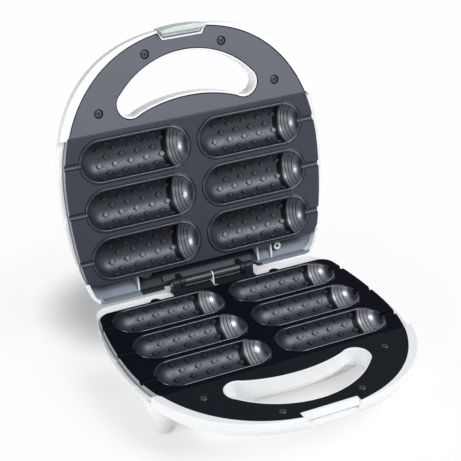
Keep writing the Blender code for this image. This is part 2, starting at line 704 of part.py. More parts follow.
def cut_lid_rear(casing, half, shares, bowl_depth, bowl_inset):
    """Behind the lid's plate the shell is open down to its inner wall."""
    rings = [(casing_ring(WALL), -OVERRUN), (casing_ring(WALL + SEAT), BOWL_TOP - SEAT)]
    for depth_share, inset_share in shares[1:4]:
        rings.append((casing_ring(bowl_inset * inset_share + WALL),
                      BOWL_TOP + (bowl_depth - BOWL_TOP) * depth_share - WALL))
    hollow = loft("lid_rear_hollow", rings, half, CUTTERS)
    keep = block("lid_rear_keep", (-HALF_WIDTH - OVERRUN, FRONT_Y - OVERRUN, -OVERRUN - OVERRUN),
                 (HALF_WIDTH + OVERRUN, PLATE_REAR_Y - WALL, bowl_depth), half, CUTTERS)
    combine(hollow, keep)
    combine(casing, hollow)
    # ribs stand across this hollow, and one screw boss
    wall = lid_wall_line(3)
    outline = [(REAR_Y - RIB_FROM_REAR, RIB_TOP), (wall[0][0] + WALL / 2, RIB_TOP)] + [(y + WALL / 2, depth) for y, depth in wall]
    for index, x in enumerate(LID_RIBS_X):
        rib = flat(f"lid_rib_{index}", [outline], x - RIB_THICKNESS / 2, x + RIB_THICKNESS / 2, half, CUTTERS,
                   along="side")
        combine(casing, rib, "UNION")
    boss_x, boss_y = LID_BOSS
    boss_end = wall[2][1]
    boss = rod("lid_boss", LID_BOSS_RADIUS, boss_end - RIB_TOP, (boss_x, boss_y, (boss_end + RIB_TOP) / 2), half,
               CUTTERS, sides=14)
    combine(casing, boss, "UNION")
    hole = rod("lid_boss_hole", LID_BOSS_HOLE, boss_end - RIB_TOP, (boss_x, boss_y, RIB_TOP + WALL / 2), half,
               CUTTERS, sides=12)
    return combine(casing, hole)


def cut_lens_holes(casing, half, bowl_depth):
    for side in (-1, 1):
        combine(casing, rod(f"lens_hole_{side}", LENS_RADIUS + SEAT, WALL + OVERRUN,
                            (side * LENS_X, LENS_Y, bowl_depth), half, CUTTERS))
    return casing


# Panels and their screws

def make_panel(half):
    name = half.name + "_handle_panel"
    back_y = PLATE_FRONT_Y - FIT
    panel = flat(name, [panel_ring(0.0, back_y), opening_ring(FIT / 2)[::-1]], PANEL_FACE, PANEL_BACK, half, PARTS)
    for index, (x, y) in enumerate(screw_places()):
        combine(panel, rod(f"{name}_hole_{index}", SCREW_HEAD_RADIUS + SEAT, PANEL_THICKNESS + OVERRUN,
                           (x, y, PANEL_FACE + PANEL_THICKNESS / 2 - SEAT), half, CUTTERS))
    out_y = FRONT_Y - OVERRUN
    if half.name == "base":
        top_y = FRONT_Y + NOTCH_DEPTH + NOTCH_DEPTH / 5 + SEAT
        notch = wedge(name + "_notch", [(CATCH_HALF_TOP + SEAT, CATCH_HALF_TOP + SEAT, top_y, out_y, -OVERRUN),
                                        (CATCH_HALF_TOP + SEAT, CATCH_HALF_TOP + SEAT, top_y, out_y, OVERRUN)], half)
    else:
        frame = FIT + SEAT
        spread = (LATCH_HALF_OUTER - LATCH_HALF_INNER) * OVERRUN / NOTCH_DEPTH
        section = (LATCH_HALF_INNER + frame, LATCH_HALF_OUTER + frame + spread, FRONT_Y + NOTCH_DEPTH + SEAT, out_y)
        notch = wedge(name + "_notch", [(*section, -OVERRUN), (*section, OVERRUN)], half)
    combine(panel, notch)
    return settle(panel, half.name + "_panel")


def make_screws(half):
    head_top = PANEL_FACE + SCREW_RECESS
    head_low = PANEL_SEAT - SEAT
    profile = [(0.0, head_top), (SCREW_HEAD_RADIUS, head_top), (SCREW_HEAD_RADIUS, head_low),
               (SCREW_SHANK_RADIUS, head_low), (SCREW_SHANK_RADIUS, head_top + SCREW_LENGTH - SCREW_SHANK_RADIUS),
               (0.0, head_top + SCREW_LENGTH)]
    for index, (x, y) in enumerate(screw_places()):
        screw = turned(f"{half.name}_panel_screw_{index + 1}", profile, (x, y, 0.0), half, PARTS, steps=14)
        settle(screw, "dark_steel")


# Cooking plates

def trough_rings(centre_x, centre_y, radius, depth, top, first, levels, steps):
    """A half-round trough with round ends: slot outlines that shrink as a quarter ellipse."""
    rings = [(stadium(centre_x, centre_y, CAVITY_STRAIGHT, radius, steps), first)]
    for level in range(levels + 1):
        angle = math.pi / 2 * level / levels
        rings.append((stadium(centre_x, centre_y, CAVITY_STRAIGHT, radius * max(math.cos(angle), 0.0), steps),
                      top + depth * math.sin(angle)))
    return rings


def trough(name, centre_x, centre_y, radius, depth, top, first, half, levels=4, steps=6):
    """Skin the trough. Its last section is a line, so its cap is left to the merge."""
    rings = trough_rings(centre_x, centre_y, radius, depth, top, first, levels, steps)
    shape = bmesh.new()
    rows = [[shape.verts.new((x, y, half.sign * level)) for x, y in ring] for ring, level in rings]
    count = len(rows[0])
    for lower, upper in zip(rows, rows[1:]):
        for i in range(count):
            shape.faces.new((lower[i], lower[(i + 1) % count], upper[(i + 1) % count], upper[i]))
    shape.faces.new(rows[0])
    bmesh.ops.remove_doubles(shape, verts=shape.verts, dist=WELD)
    bmesh.ops.recalc_face_normals(shape, faces=shape.faces)
    data = bpy.data.meshes.new(name)
    shape.to_mesh(data)
    shape.free()
    return finish_mesh(name, data, CUTTERS, half)


def cavity_places():
    first = PLATE_FRONT_Y + LAND_IN_FRONT + CAVITY_RADIUS
    return [(side, side * CAVITY_X, first + row * ROW_PITCH) for row in range(ROWS) for side in (-1, 1)]


def plate_side_x(y):
    """Half width of the plate's outline at a given y."""
    half_width = HALF_WIDTH - PLATE_RIM
    if y < WIDEST_Y:
        share = (WIDEST_Y - y) / (FRONT_REACH - PANEL_RIM_FRONT)
        return half_width * (1 - share ** PANEL_POWER) ** (1 / PANEL_POWER)
    return half_width - PLATE_SIDE_RADIUS + math.sqrt(PLATE_SIDE_RADIUS ** 2 - (y - WIDEST_Y) ** 2)


def make_plate(half):
    name = half.name + "_cooking_plate"
    plate = flat(name, [plate_ring(0.0)], PLATE_FACE, PLATE_SKIRT, half, PARTS)
    underside = flat(name + "_underside", [plate_ring(-PLATE_WALL, tabs=False)], PLATE_FACE + PLATE_WALL,
                     PLATE_SKIRT + OVERRUN, half, CUTTERS)
    combine(plate, underside)
    places = cavity_places()
    for index, (side, x, y) in enumerate(places):
        lip = flat(f"{name}_lip_{index}", [stadium(x, y, CAVITY_STRAIGHT, CAVITY_RADIUS + LIP_WIDTH, 6)],
                   MATE_GAP, PLATE_FACE + PLATE_WALL / 2, half, CUTTERS)
        combine(plate, lip, "UNION")
        bulge = trough(f"{name}_bulge_{index}", x, y, CAVITY_RADIUS + PLATE_WALL, TROUGH_DEPTH,
                       PLATE_FACE + PLATE_WALL / 3, PLATE_FACE + PLATE_WALL / 4, half)
        combine(plate, bulge, "UNION")
        # a half-round wall under each stick groove, from the trough to the skirt
        wall_top = PLATE_FACE + PLATE_WALL / 2
        channel = [(y + GROOVE_WALL_RADIUS * math.cos(a), wall_top + GROOVE_WALL_RADIUS * math.sin(a))
                   for a in np.linspace(0.0, math.pi, 7)]
        low, high = sorted((side * (CAVITY_OUTER_X - PLATE_WALL), side * (plate_side_x(y) - PLATE_WALL / 2)))
        combine(plate, flat(f"{name}_channel_{index}", [channel], low, high, half, CUTTERS, along="side"), "UNION")
    for index, (side, x, y) in enumerate(places):
        cavity = trough(f"{name}_cavity_{index}", x, y, CAVITY_RADIUS, CAVITY_DEPTH, PLATE_FACE + LIP_HEIGHT / 2,
                        -OVERRUN, half)
        combine(plate, cavity)
        start = x + side * (CAVITY_STRAIGHT + CAVITY_RADIUS / 2)
        end = side * (HALF_WIDTH + OVERRUN)
        groove = rod(f"{name}_groove_{index}", GROOVE_RADIUS, abs(end - start), ((start + end) / 2, y, PLATE_FACE),
                     half, CUTTERS, axis="X", sides=12)
        combine(plate, groove)
    return settle(plate, "plate")


# Hinge

def knuckle_outline(radius, sink):
    """Side view of a knuckle: a round eye on a foot that stands on the hinge plate."""
    foot = RIM_STEP - SEAT - HINGE_PLATE_THICKNESS - SEAT + sink
    points = [(HINGE_Y + radius * math.cos(a), -HINGE_RISE - radius * math.sin(a))
              for a in np.linspace(0.0, math.pi, 9)]
    return points + [(HINGE_Y - KNUCKLE_PAD_FRONT, foot), (HINGE_Y + KNUCKLE_PAD_REAR, foot)]


def make_hinge(base, lid):
    for side, word in ((-1, "left"), (1, "right")):
        low, high = sorted((HINGE_X + side * KNUCKLE_X, HINGE_X + side * (KNUCKLE_X + KNUCKLE_WIDTH)))
        knuckle = flat(f"hinge_knuckle_{word}", [knuckle_outline(EYE_RADIUS, 0.0)], low, high, base, PARTS,
                       along="side")
        combine(knuckle, rod(f"knuckle_bore_{word}", PIN_BORE, KNUCKLE_WIDTH + OVERRUN,
                             ((low + high) / 2, HINGE_Y, -HINGE_RISE), base, CUTTERS, axis="X"))
        settle(knuckle, "dark_hinge")
        near = WEB_THICKNESS / 2 + SEAT
        sleeve = rod(f"hinge_sleeve_{word}", BARREL_RADIUS, BARREL_HALF - near,
                     (HINGE_X + side * (near + BARREL_HALF) / 2, HINGE_Y, HINGE_RISE), lid, PARTS, axis="X", sides=24)
        combine(sleeve, rod(f"sleeve_bore_{word}", PIN_BORE, BARREL_HALF + OVERRUN,
                            (HINGE_X + side * BARREL_HALF / 2, HINGE_Y, HINGE_RISE), lid, CUTTERS, axis="X"))
        settle(sleeve, "sleeve")
    pin = rod("hinge_pin", PIN_RADIUS, 2 * (KNUCKLE_X + KNUCKLE_WIDTH + SEAT), (HINGE_X, HINGE_Y, -HINGE_RISE),
              base, PARTS, axis="X")
    settle(pin, "steel")
    make_hinge_plate(base)
    make_leaf(lid)


def make_hinge_plate(base):
    """A flat plate on the rear rim under the knuckles, slotted for the web of the casing."""
    front = PLATE_REAR_Y + FIT + FIT
    rear = REAR_Y - HINGE_PLATE_FROM_REAR
    slot = WEB_THICKNESS / 2 + SEAT
    slot_front = HINGE_Y - KNUCKLE_PAD_FRONT - SEAT
    window_reach, window_depth = HINGE_WINDOW
    outline = [(-HINGE_PLATE_HALF, front), (HINGE_PLATE_HALF, front), (HINGE_PLATE_HALF, rear), (slot, rear),
               (slot, slot_front), (window_reach, slot_front), (slot, slot_front - window_depth),
               (-slot, slot_front - window_depth), (-slot, rear), (-HINGE_PLATE_HALF, rear)]
    low = RIM_STEP - SEAT - HINGE_PLATE_THICKNESS
    plate = flat("base_hinge_plate", [[(HINGE_X + x, y) for x, y in outline]], low, low + HINGE_PLATE_THICKNESS,
                 base, PARTS)
    settle(plate, "dark_hinge")


def lid_wall_line(steps):
    """Side view of the lid's rear inner wall, from the rim inwards: (y, depth) points."""
    line = [(REAR_Y - WALL - SEAT, BOWL_TOP - SEAT)]
    for depth_share, inset_share in LID_BOWL_SHARES[1:steps]:
        line.append((REAR_Y - LID_BOWL_INSET * inset_share - WALL,
                     BOWL_TOP + (LID_BOWL_DEPTH - BOWL_TOP) * depth_share - WALL))
    return line


def make_leaf(lid):
    """A bent sheet along the lid's rear inner wall, with two eyes on the pin."""
    wall = [np.array(point) for point in lid_wall_line(3)]
    along = (wall[1] - wall[0]) / np.linalg.norm(wall[1] - wall[0])
    inward = np.array((along[1], -along[0]))
    if inward[0] > 0.0:
        inward = -inward
    start = wall[0] + inward * FIT + along * LEAF_THICKNESS
    knee = wall[1] + inward * FIT
    outer = [start, knee]
    inner = [start + inward * LEAF_THICKNESS, knee + inward * LEAF_THICKNESS]
    sheet = [tuple(point) for point in outer + inner[::-1]]
    leaf = flat("lid_hinge_leaf", [sheet], *LEAF_ENDS, lid, PARTS, along="side")
    grip = start + (inward + along) * LEAF_THICKNESS / 2
    for side, word in ((-1, "left"), (1, "right")):
        low, high = sorted((HINGE_X + side * ARM_X, HINGE_X + side * (ARM_X + ARM_WIDTH)))
        eye = [(HINGE_Y + EYE_RADIUS * math.cos(a), HINGE_RISE + EYE_RADIUS * math.sin(a))
               for a in np.linspace(-math.pi, 0.0, 11)]
        arm_outline = eye + [tuple(grip + along * LEAF_THICKNESS), tuple(grip + along * LEAF_THICKNESS * 3)]
        arm = flat(f"leaf_arm_{word}", [arm_outline], low, high, lid, CUTTERS, along="side")
        combine(leaf, arm, "UNION")
        combine(leaf, rod(f"leaf_bore_{word}", PIN_BORE, ARM_WIDTH + OVERRUN / 2,
                          ((low + high) / 2, HINGE_Y, HINGE_RISE), lid, CUTTERS, axis="X"))
    settle(leaf, "dark_hinge")


# Latch

def make_latch(lid, latch_axis):
    """The clip hangs on its pin in the lid's notch and hooks under the base's catch."""
    pin_y = LATCH_PIN_Y
    pin_depth = LATCH_PIN_DEPTH
    inner_y = LATCH_FACE_Y + LATCH_PLATE
    boss = [(pin_y + LATCH_BOSS_RADIUS * math.cos(a), pin_depth + LATCH_BOSS_RADIUS * math.sin(a))
            for a in np.linspace(-math.pi / 2, math.pi / 2, 7)]
    hook = [(LATCH_FACE_Y, LATCH_TOP), (LATCH_FACE_Y, -LATCH_REACH + LATCH_HOOK / 2),
            (LATCH_FACE_Y + LATCH_HOOK / 2, -LATCH_REACH),
            (inner_y + LATCH_NOSE, -LATCH_REACH), (inner_y + LATCH_NOSE, -LATCH_REACH + LATCH_HOOK / 2),
            (inner_y, -LATCH_REACH + LATCH_HOOK), (inner_y, pin_depth - LATCH_BOSS_RADIUS)]
    outline = [(y - pin_y, depth - pin_depth) for y, depth in hook + boss]
    carrier = Half("latch", lid.sign, latch_axis, (0.0, 0.0, 0.0))
    clip = flat("latch_clip", [outline], -LATCH_HALF_OUTER, LATCH_HALF_OUTER, carrier, PARTS, along="side")
    # the outer face bulges along the handle's curve
    arc = [(LATCH_HALF_OUTER * share, LATCH_FACE_Y - pin_y + LATCH_BULGE * share ** 2)
           for share in np.linspace(-1.0, 1.0, 11)]
    plan = arc + [(LATCH_HALF_OUTER, NOTCH_DEPTH), (-LATCH_HALF_OUTER, NOTCH_DEPTH)]
    keep = flat("latch_plan", [plan], -LATCH_REACH - pin_depth - OVERRUN, OVERRUN, carrier, CUTTERS)
    combine(clip, keep, "INTERSECT")
    # the clip narrows inwards, as its notch does
    for side in (-1, 1):
        lean = [(side * LATCH_HALF_OUTER, LATCH_FACE_Y - pin_y),
                (side * (LATCH_HALF_OUTER + OVERRUN), LATCH_FACE_Y - pin_y),
                (side * (LATCH_HALF_OUTER + OVERRUN), NOTCH_DEPTH),
                (side * LATCH_HALF_INNER, NOTCH_DEPTH + LATCH_FACE_Y - pin_y)]
        trim = flat(f"latch_trim_{side}", [lean], -LATCH_REACH - pin_depth - OVERRUN, LATCH_TOP, carrier, CUTTERS)
        combine(clip, trim)
    combine(clip, rod("latch_clip_bore", LATCH_PIN_RADIUS + PIN_CLEARANCE, 2 * LATCH_HALF_OUTER + OVERRUN,
                      (0.0, 0.0, 0.0), carrier, CUTTERS, axis="X", sides=12))
    settle(clip, "latch")
    pin = rod("latch_pin", LATCH_PIN_RADIUS, 2 * LATCH_HALF_OUTER + OVERRUN, (0.0, pin_y, pin_depth), lid, PARTS,
              axis="X", sides=12)
    settle(pin, "steel")


# Inner parts and fittings

def make_element(half):
    """A bent tubular heater that nestles between the rows of troughs."""
    rows = [y for side, x, y in cavity_places() if side > 0]
    legs = [(rows[0] + rows[1]) / 2, (rows[1] + rows[2]) / 2]
    depth = element_depth()
    far_x = HALF_WIDTH - PLATE_RIM - ELEMENT_END_LAND
    bend = (legs[1] - legs[0]) / 2
    curve = bpy.data.curves.new("heater", "CURVE")
    curve.dimensions = "3D"
    curve.bevel_depth = ELEMENT_RADIUS
    curve.bevel_resolution = 2
    curve.use_fill_caps = True
    points = [(far_x, legs[0], depth)]
    corner = min(ELEMENT_BEND / 2, bend)
    for centre_y, start, stop in ((legs[0] + corner, -math.pi / 2, -math.pi), (legs[1] - corner, math.pi, math.pi / 2)):
        for angle in np.linspace(start, stop, 5):
            points.append((-far_x + corner + corner * math.cos(angle), centre_y + corner * math.sin(angle), depth))
    points.append((far_x, legs[1], depth))
    spline = curve.splines.new("POLY")
    spline.points.add(len(points) - 1)
    for point, (x, y, level) in zip(spline.points, points):
        point.co = (x, y, half.sign * level, 1.0)
    source = bpy.data.objects.new("heater", curve)
    bpy.context.scene.collection.objects.link(source)
    graph = bpy.context.evaluated_depsgraph_get()
    data = bpy.data.meshes.new_from_object(source.evaluated_get(graph))
    bpy.data.objects.remove(source, do_unlink=True)
    bpy.data.curves.remove(curve)
    shape = bmesh.new()
    shape.from_mesh(data)
    bmesh.ops.remove_doubles(shape, verts=shape.verts, dist=WELD)
    bmesh.ops.recalc_face_normals(shape, faces=shape.faces)
    shape.to_mesh(data)
    shape.free()
    name = half.name + "_heating_element"
    data.name = name
    return settle(finish_mesh(name, data, PARTS, half), "element")


def element_depth():
    """Depth at which the tube just clears the two troughs that it lies between."""
    side = CAVITY_RADIUS + PLATE_WALL
    half_pitch = ROW_PITCH / 2
    wanted = ELEMENT_RADIUS + SEAT
    angles = np.linspace(0.0, math.pi / 2, 400)
    ellipse = np.stack([side * np.cos(angles), TROUGH_DEPTH * np.sin(angles)])
    top = PLATE_FACE + PLATE_WALL / 3
    for depth in np.linspace(PLATE_WALL, TROUGH_DEPTH + ELEMENT_RADIUS, 400):
        gap = np.min(np.hypot(ellipse[0] - half_pitch, ellipse[1] - depth))
        if gap >= wanted and depth > PLATE_WALL + ELEMENT_RADIUS:
            return top + float(depth)
    return top + TROUGH_DEPTH


def inner_ring(shares, bowl_depth, bowl_inset, depth, gap):
    """The bowl's inner outline at a given depth, drawn in by a gap."""
    levels = [BOWL_TOP + (bowl_depth - BOWL_TOP) * share - WALL for share, inset in shares]
    insets = [bowl_inset * inset + WALL for share, inset in shares]
    return bowl_ring(float(np.interp(depth, levels, insets)) + gap)


def make_shield(half, shares, bowl_depth, bowl_inset):
    low = SHIELD_DEPTH + SHIELD_THICKNESS
    ring = inner_ring(shares, bowl_depth, bowl_inset, low, SEAT + SEAT)
    shield = flat(half.name + "_heat_shield", [ring], SHIELD_DEPTH, low, half, PARTS)
    return settle(shield, "steel")


def make_base_fittings(base):
    under_shield = SHIELD_DEPTH + SHIELD_THICKNESS + SEAT
    neck = THERMOSTAT_RADIUS * 0.6
    thermostat = turned("thermostat", [(0.0, 0.0), (THERMOSTAT_RADIUS, 0.0), (THERMOSTAT_RADIUS, THERMOSTAT_HEIGHT / 3),
                                       (neck, THERMOSTAT_HEIGHT / 3), (neck, THERMOSTAT_HEIGHT),
                                       (0.0, THERMOSTAT_HEIGHT)], (0.0, 0.0, under_shield), base, PARTS)
    settle(thermostat, "ceramic")
    fuse = rod("thermal_fuse", FUSE_RADIUS, FUSE_LENGTH, (HALF_WIDTH / 4, 0.0, under_shield + FUSE_RADIUS), base,
               PARTS, axis="X", sides=12)
    settle(fuse, "ceramic")
    floor = BASE_BOWL_DEPTH - WALL - SEAT
    width, depth, height = BLOCK_SIZE
    middle_y = WIDEST_Y + REAR_REACH / 3
    terminals = block("terminal_block", (-width / 2, middle_y - depth / 2, floor - height),
                      (width / 2, middle_y + depth / 2, floor), base, PARTS)
    settle(terminals, "ceramic")
    # the bush lies along Y in the rear wall, its flange inside
    profile = [(BUSH_BORE, 0.0), (BUSH_OUTER, 0.0), (BUSH_OUTER, BUSH_LENGTH), (BUSH_BORE, BUSH_LENGTH)]
    bush = turned("cord_inlet_bush", profile, (0.0, REAR_Y - BUSH_FROM_REAR, BUSH_DEPTH), base, PARTS, axis="rear")
    settle(bush, "rubber")
    for index, (x, y) in enumerate(foot_places()):
        top = BASE_HEIGHT - PAD_THICKNESS
        pad = turned(f"foot_pad_{index + 1}", [(0.0, top), (PAD_RADIUS, top), (PAD_RADIUS, BASE_HEIGHT - SEAT),
                                               (PAD_RADIUS - SEAT, BASE_HEIGHT), (0.0, BASE_HEIGHT)],
                     (x, y, 0.0), base, PARTS)
        settle(pad, "rubber")


def make_lights(lid):
    """Two lens-and-lamp pairs in the top of the lid."""
    top = LID_BOWL_DEPTH + LENS_STAND
    inside = LID_BOWL_DEPTH - WALL - SEAT
    for side, word, surface in ((-1, "power", "red_lens"), (1, "ready", "green_lens")):
        lens = turned(f"{word}_light_lens", [(0.0, inside), (LENS_RADIUS, inside), (LENS_RADIUS, LID_BOWL_DEPTH),
                                             (LENS_RADIUS * 0.7, top - LENS_STAND / 4), (0.0, top)],
                      (side * LENS_X, LENS_Y, 0.0), lid, PARTS)
        settle(lens, surface)
        lamp = rod(f"{word}_lamp", LAMP_RADIUS, LAMP_LENGTH,
                   (side * LENS_X, LENS_Y, inside - SEAT - LAMP_LENGTH / 2), lid, PARTS, sides=12)
        settle(lamp, "lamp_glass")


WELD = 0.00001
SHARP_ANGLE = math.radians(35)

clear_scene()
PARTS = make_collection("stick_waffle_maker")
CUTTERS = make_collection("cutters")
CUTTERS.hide_render = True

lid_axis = bpy.data.objects.new("lid_hinge_axis", None)
lid_axis.location = (0.0, HINGE_Y - MIDDLE_Y, BASE_HEIGHT + HINGE_RISE)
PARTS.objects.link(lid_axis)
latch_axis = bpy.data.objects.new("latch_pivot_axis", None)
latch_axis.parent = lid_axis
latch_axis.location = (0.0, LATCH_PIN_Y - HINGE_Y, LATCH_PIN_DEPTH - HINGE_RISE)
PARTS.objects.link(latch_axis)
bpy.context.view_layer.update()

base_half = Half("base", -1, None, (0.0, -MIDDLE_Y, BASE_HEIGHT))
lid_half = Half("lid", 1, lid_axis, (0.0, -HINGE_Y, -HINGE_RISE))

make_casing(base_half, BASE_BOWL_SHARES, BASE_BOWL_DEPTH, BASE_BOWL_INSET)
make_casing(lid_half, LID_BOWL_SHARES, LID_BOWL_DEPTH, LID_BOWL_INSET)
for piece_half in (base_half, lid_half):
    make_panel(piece_half)
    make_screws(piece_half)
    make_plate(piece_half)
    make_element(piece_half)
make_shield(base_half, BASE_BOWL_SHARES, BASE_BOWL_DEPTH, BASE_BOWL_INSET)
make_shield(lid_half, LID_BOWL_SHARES, LID_BOWL_DEPTH, LID_BOWL_INSET)
make_hinge(base_half, lid_half)
make_latch(lid_half, latch_axis)
make_base_fittings(base_half)
make_lights(lid_half)

# everything is made with the lid closed; it rests open
lid_axis.rotation_euler.x = -OPEN_ANGLE
bpy.context.view_layer.update()
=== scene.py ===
import math

import bmesh
import bpy
import numpy as np
from mathutils import Matrix, Vector


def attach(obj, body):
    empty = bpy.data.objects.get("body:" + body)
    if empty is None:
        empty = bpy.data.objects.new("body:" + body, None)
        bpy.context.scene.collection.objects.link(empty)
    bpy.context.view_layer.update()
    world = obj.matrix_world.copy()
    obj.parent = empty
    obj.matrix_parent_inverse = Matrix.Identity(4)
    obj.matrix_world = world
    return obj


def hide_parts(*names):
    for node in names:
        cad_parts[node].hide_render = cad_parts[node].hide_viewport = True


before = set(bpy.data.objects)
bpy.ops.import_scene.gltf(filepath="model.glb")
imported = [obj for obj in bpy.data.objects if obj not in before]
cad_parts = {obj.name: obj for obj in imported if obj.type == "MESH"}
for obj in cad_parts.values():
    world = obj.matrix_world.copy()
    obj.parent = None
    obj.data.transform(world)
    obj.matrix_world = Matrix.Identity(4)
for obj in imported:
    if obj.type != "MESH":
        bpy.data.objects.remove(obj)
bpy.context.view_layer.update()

# Every shape below is drawn with the machine closed, as x, y and depth in metres. Depth is
# counted from the plane where the halves meet: down into the base, up into the lid.

machine = {
    "halfWidth": 0.1212,
    "widestY": 0.0070,
    "frontReach": 0.1257,
    "rearReach": 0.0930,
    "sideRadius": 0.2400,
    "rearCorner": 0.0130,
    "roundness": 2.44,
    "baseHeight": 0.0470,
    "middleY": 0.0224,
    "hingeY": 0.0971,
    "hingeRise": 0.0013,
    "openAngle": 103.27,
    "curveSteps": 44,
    "sideSteps": 10,
    "cornerSteps": 10,
    "rearSteps": 6,
}
rearY = machine["widestY"] + machine["rearReach"]
frontY = machine["widestY"] - machine["frontReach"]
openTurn = math.radians(machine["openAngle"])


# world places: the base's depth runs down, the lid's is turned about the hinge line
def placeBase(points):
    return np.stack([points[:, 0], points[:, 1] - machine["middleY"], machine["baseHeight"] - points[:, 2]],
                    axis=1)


def placeLid(points):
    back = points[:, 1] - machine["hingeY"]
    out = points[:, 2] - machine["hingeRise"]
    y = machine["hingeY"] - machine["middleY"] + back * math.cos(openTurn) + out * math.sin(openTurn)
    z = machine["baseHeight"] + machine["hingeRise"] - back * math.sin(openTurn) + out * math.cos(openTurn)
    return np.stack([points[:, 0], y, z], axis=1)


# mesh tools

# Steps are counted once round or along a line, Points along an arc
meshing = {"weld": 0.000002, "weldCut": 0.000004, "sharpAngle": 32, "levelFrom": 0.99996, "cornerLeast": 0.4,
           "edgePoints": 5, "onMiddle": 1e-9, "tinySteps": 20, "smallSteps": 24, "rodSteps": 32,
           "bossSteps": 36, "wideSteps": 40, "roundSteps": 48, "fineSteps": 56}


# quads of a grid of rows by columns, numbered row after row; the columns close on themselves
def gridFaces(rows, columns):
    row = np.arange(rows - 1)[:, None] * columns
    column = np.arange(columns)[None, :]
    following = (column + 1) % columns
    return np.stack([row + column, row + following, row + columns + following, row + columns + column],
                    axis=2).reshape(-1, 4)


# a mesh of these points and faces, with doubles merged and its faces turned outwards
def meshObject(name, points, faces):
    data = bpy.data.meshes.new(name)
    data.from_pydata(points.tolist(), [], faces)
    shape = bmesh.new()
    shape.from_mesh(data)
    bmesh.ops.remove_doubles(shape, verts=shape.verts, dist=meshing["weld"])
    bmesh.ops.recalc_face_normals(shape, faces=shape.faces)
    shape.to_mesh(data)
    shape.free()
    thing = bpy.data.objects.new(name, data)
    bpy.context.scene.collection.objects.link(thing)
    return thing


# a skin over a stack of equal loops, rings[level, point] = (x, y, depth), with flat ends
def skin(name, rings, caps=True):
    levels, count = rings.shape[:2]
    faces = gridFaces(levels, count).tolist()
    if caps:
        faces.append(list(range(count)))
        faces.append(list(range((levels - 1) * count, levels * count)))
    return meshObject(name, rings.reshape(-1, 3), faces)


# plan loops set at their depths
def ringsAt(loops, depths):
    return np.stack([np.column_stack([loop, np.full(len(loop), depth)])
                     for loop, depth in zip(loops, depths)])


# loops of a plan curve: ring(inset) at each depth
def stack(name, ring, insets, depths):
    return skin(name, ringsAt([ring(inset) for inset in insets], depths))


# one plan loop carried straight from one depth to another
def prism(name, loop, low, high):
    return skin(name, ringsAt((loop, loop), (low, high)))


# a profile of (y, depth) pushed along X, its two ends drawn in by a small round: each point moves
# along the mean of its two sides' normals
def pushed(name, profile, low, high, edge=0.0):
    loop = np.asarray(profile, dtype=float)
    ahead = np.roll(loop, -1, axis=0) - loop
    behind = loop - np.roll(loop, 1, axis=0)
    ahead = ahead / np.linalg.norm(ahead, axis=1, keepdims=True)
    behind = behind / np.linalg.norm(behind, axis=1, keepdims=True)
    area = np.sum(loop[:, 0] * np.roll(loop[:, 1], -1) - loop[:, 1] * np.roll(loop[:, 0], -1))
    turn = np.sign(area)
    normal = np.stack([-(ahead + behind)[:, 1], (ahead + behind)[:, 0]], axis=1) * turn
    square = normal * np.stack([-ahead[:, 1], ahead[:, 0]], axis=1) * turn
    normal = normal / np.maximum(np.sum(square, axis=1, keepdims=True), meshing["cornerLeast"])
    if edge > 0.0:
        angles = np.linspace(0.0, math.pi / 2, 4)
        shrink = np.concatenate([edge * (1 - np.sin(angles)), edge * (1 - np.cos(angles))])
        spots = np.concatenate([low + edge * (1 - np.cos(angles)), high - edge * (1 - np.sin(angles))])
    else:
        shrink, spots = np.zeros(2), np.array([low, high])
    rings = np.stack([np.column_stack([np.full(len(loop), x), loop + normal * s])
                      for x, s in zip(spots, shrink)])
    return skin(name, rings)


# a profile of (radius, height) spun about a line along "x", "y" or depth through centre; a closed
# one ends where it starts
def spun(name, profile, centre, along="depth", steps=meshing["roundSteps"], closed=False):
    profile = np.asarray(profile, dtype=float)
    angle = (np.arange(steps) + 0.5) / steps * 2 * math.pi
    across = profile[:, 0, None] * np.cos(angle)[None, :]
    aside = profile[:, 0, None] * np.sin(angle)[None, :]
    height = np.repeat(profile[:, 1, None], steps, axis=1)
    orders = {"depth": (across, aside, height), "x": (height, across, aside), "y": (aside, height, across)}
    rings = np.stack(orders[along], axis=2) + np.asarray(centre, dtype=float)
    if closed:
        rings = np.concatenate([rings, rings[:1]])
    return skin(name, rings, caps=False)


# a round-edged cylinder as a profile of (radius, height)
def pillProfile(radius, low, high, edge):
    angle = np.linspace(0.0, math.pi / 2, meshing["edgePoints"])
    lower = np.stack([radius - edge + edge * np.sin(angle), low + edge * (1 - np.cos(angle))], axis=1)
    upper = np.stack([radius - edge + edge * np.cos(angle), high - edge * (1 - np.sin(angle))], axis=1)
    return np.concatenate([[[0.0, low]], lower, upper, [[0.0, high]]])


# a box between two corners of x, y and depth
def block(name, low, high):
    x0, y0, d0 = low
    x1, y1, d1 = high
    return prism(name, np.array([[x0, y0], [x1, y0], [x1, y1], [x0, y1]]), d0, d1)


# a plain cylinder, from low to high along its line through centre
def rodAt(name, radius, low, high, centre, along="depth", steps=meshing["rodSteps"]):
    return spun(name, [(0.0, low), (radius, low), (radius, high), (0.0, high)], centre, along, steps)


# cuts a tool from a shape, or joins it to it; it takes effect when the shape is settled
def carve(target, tool, operation="DIFFERENCE"):
    step = target.modifiers.new("carve", "BOOLEAN")
    step.operation = operation
    step.solver = "MANIFOLD"
    step.object = tool
    return target


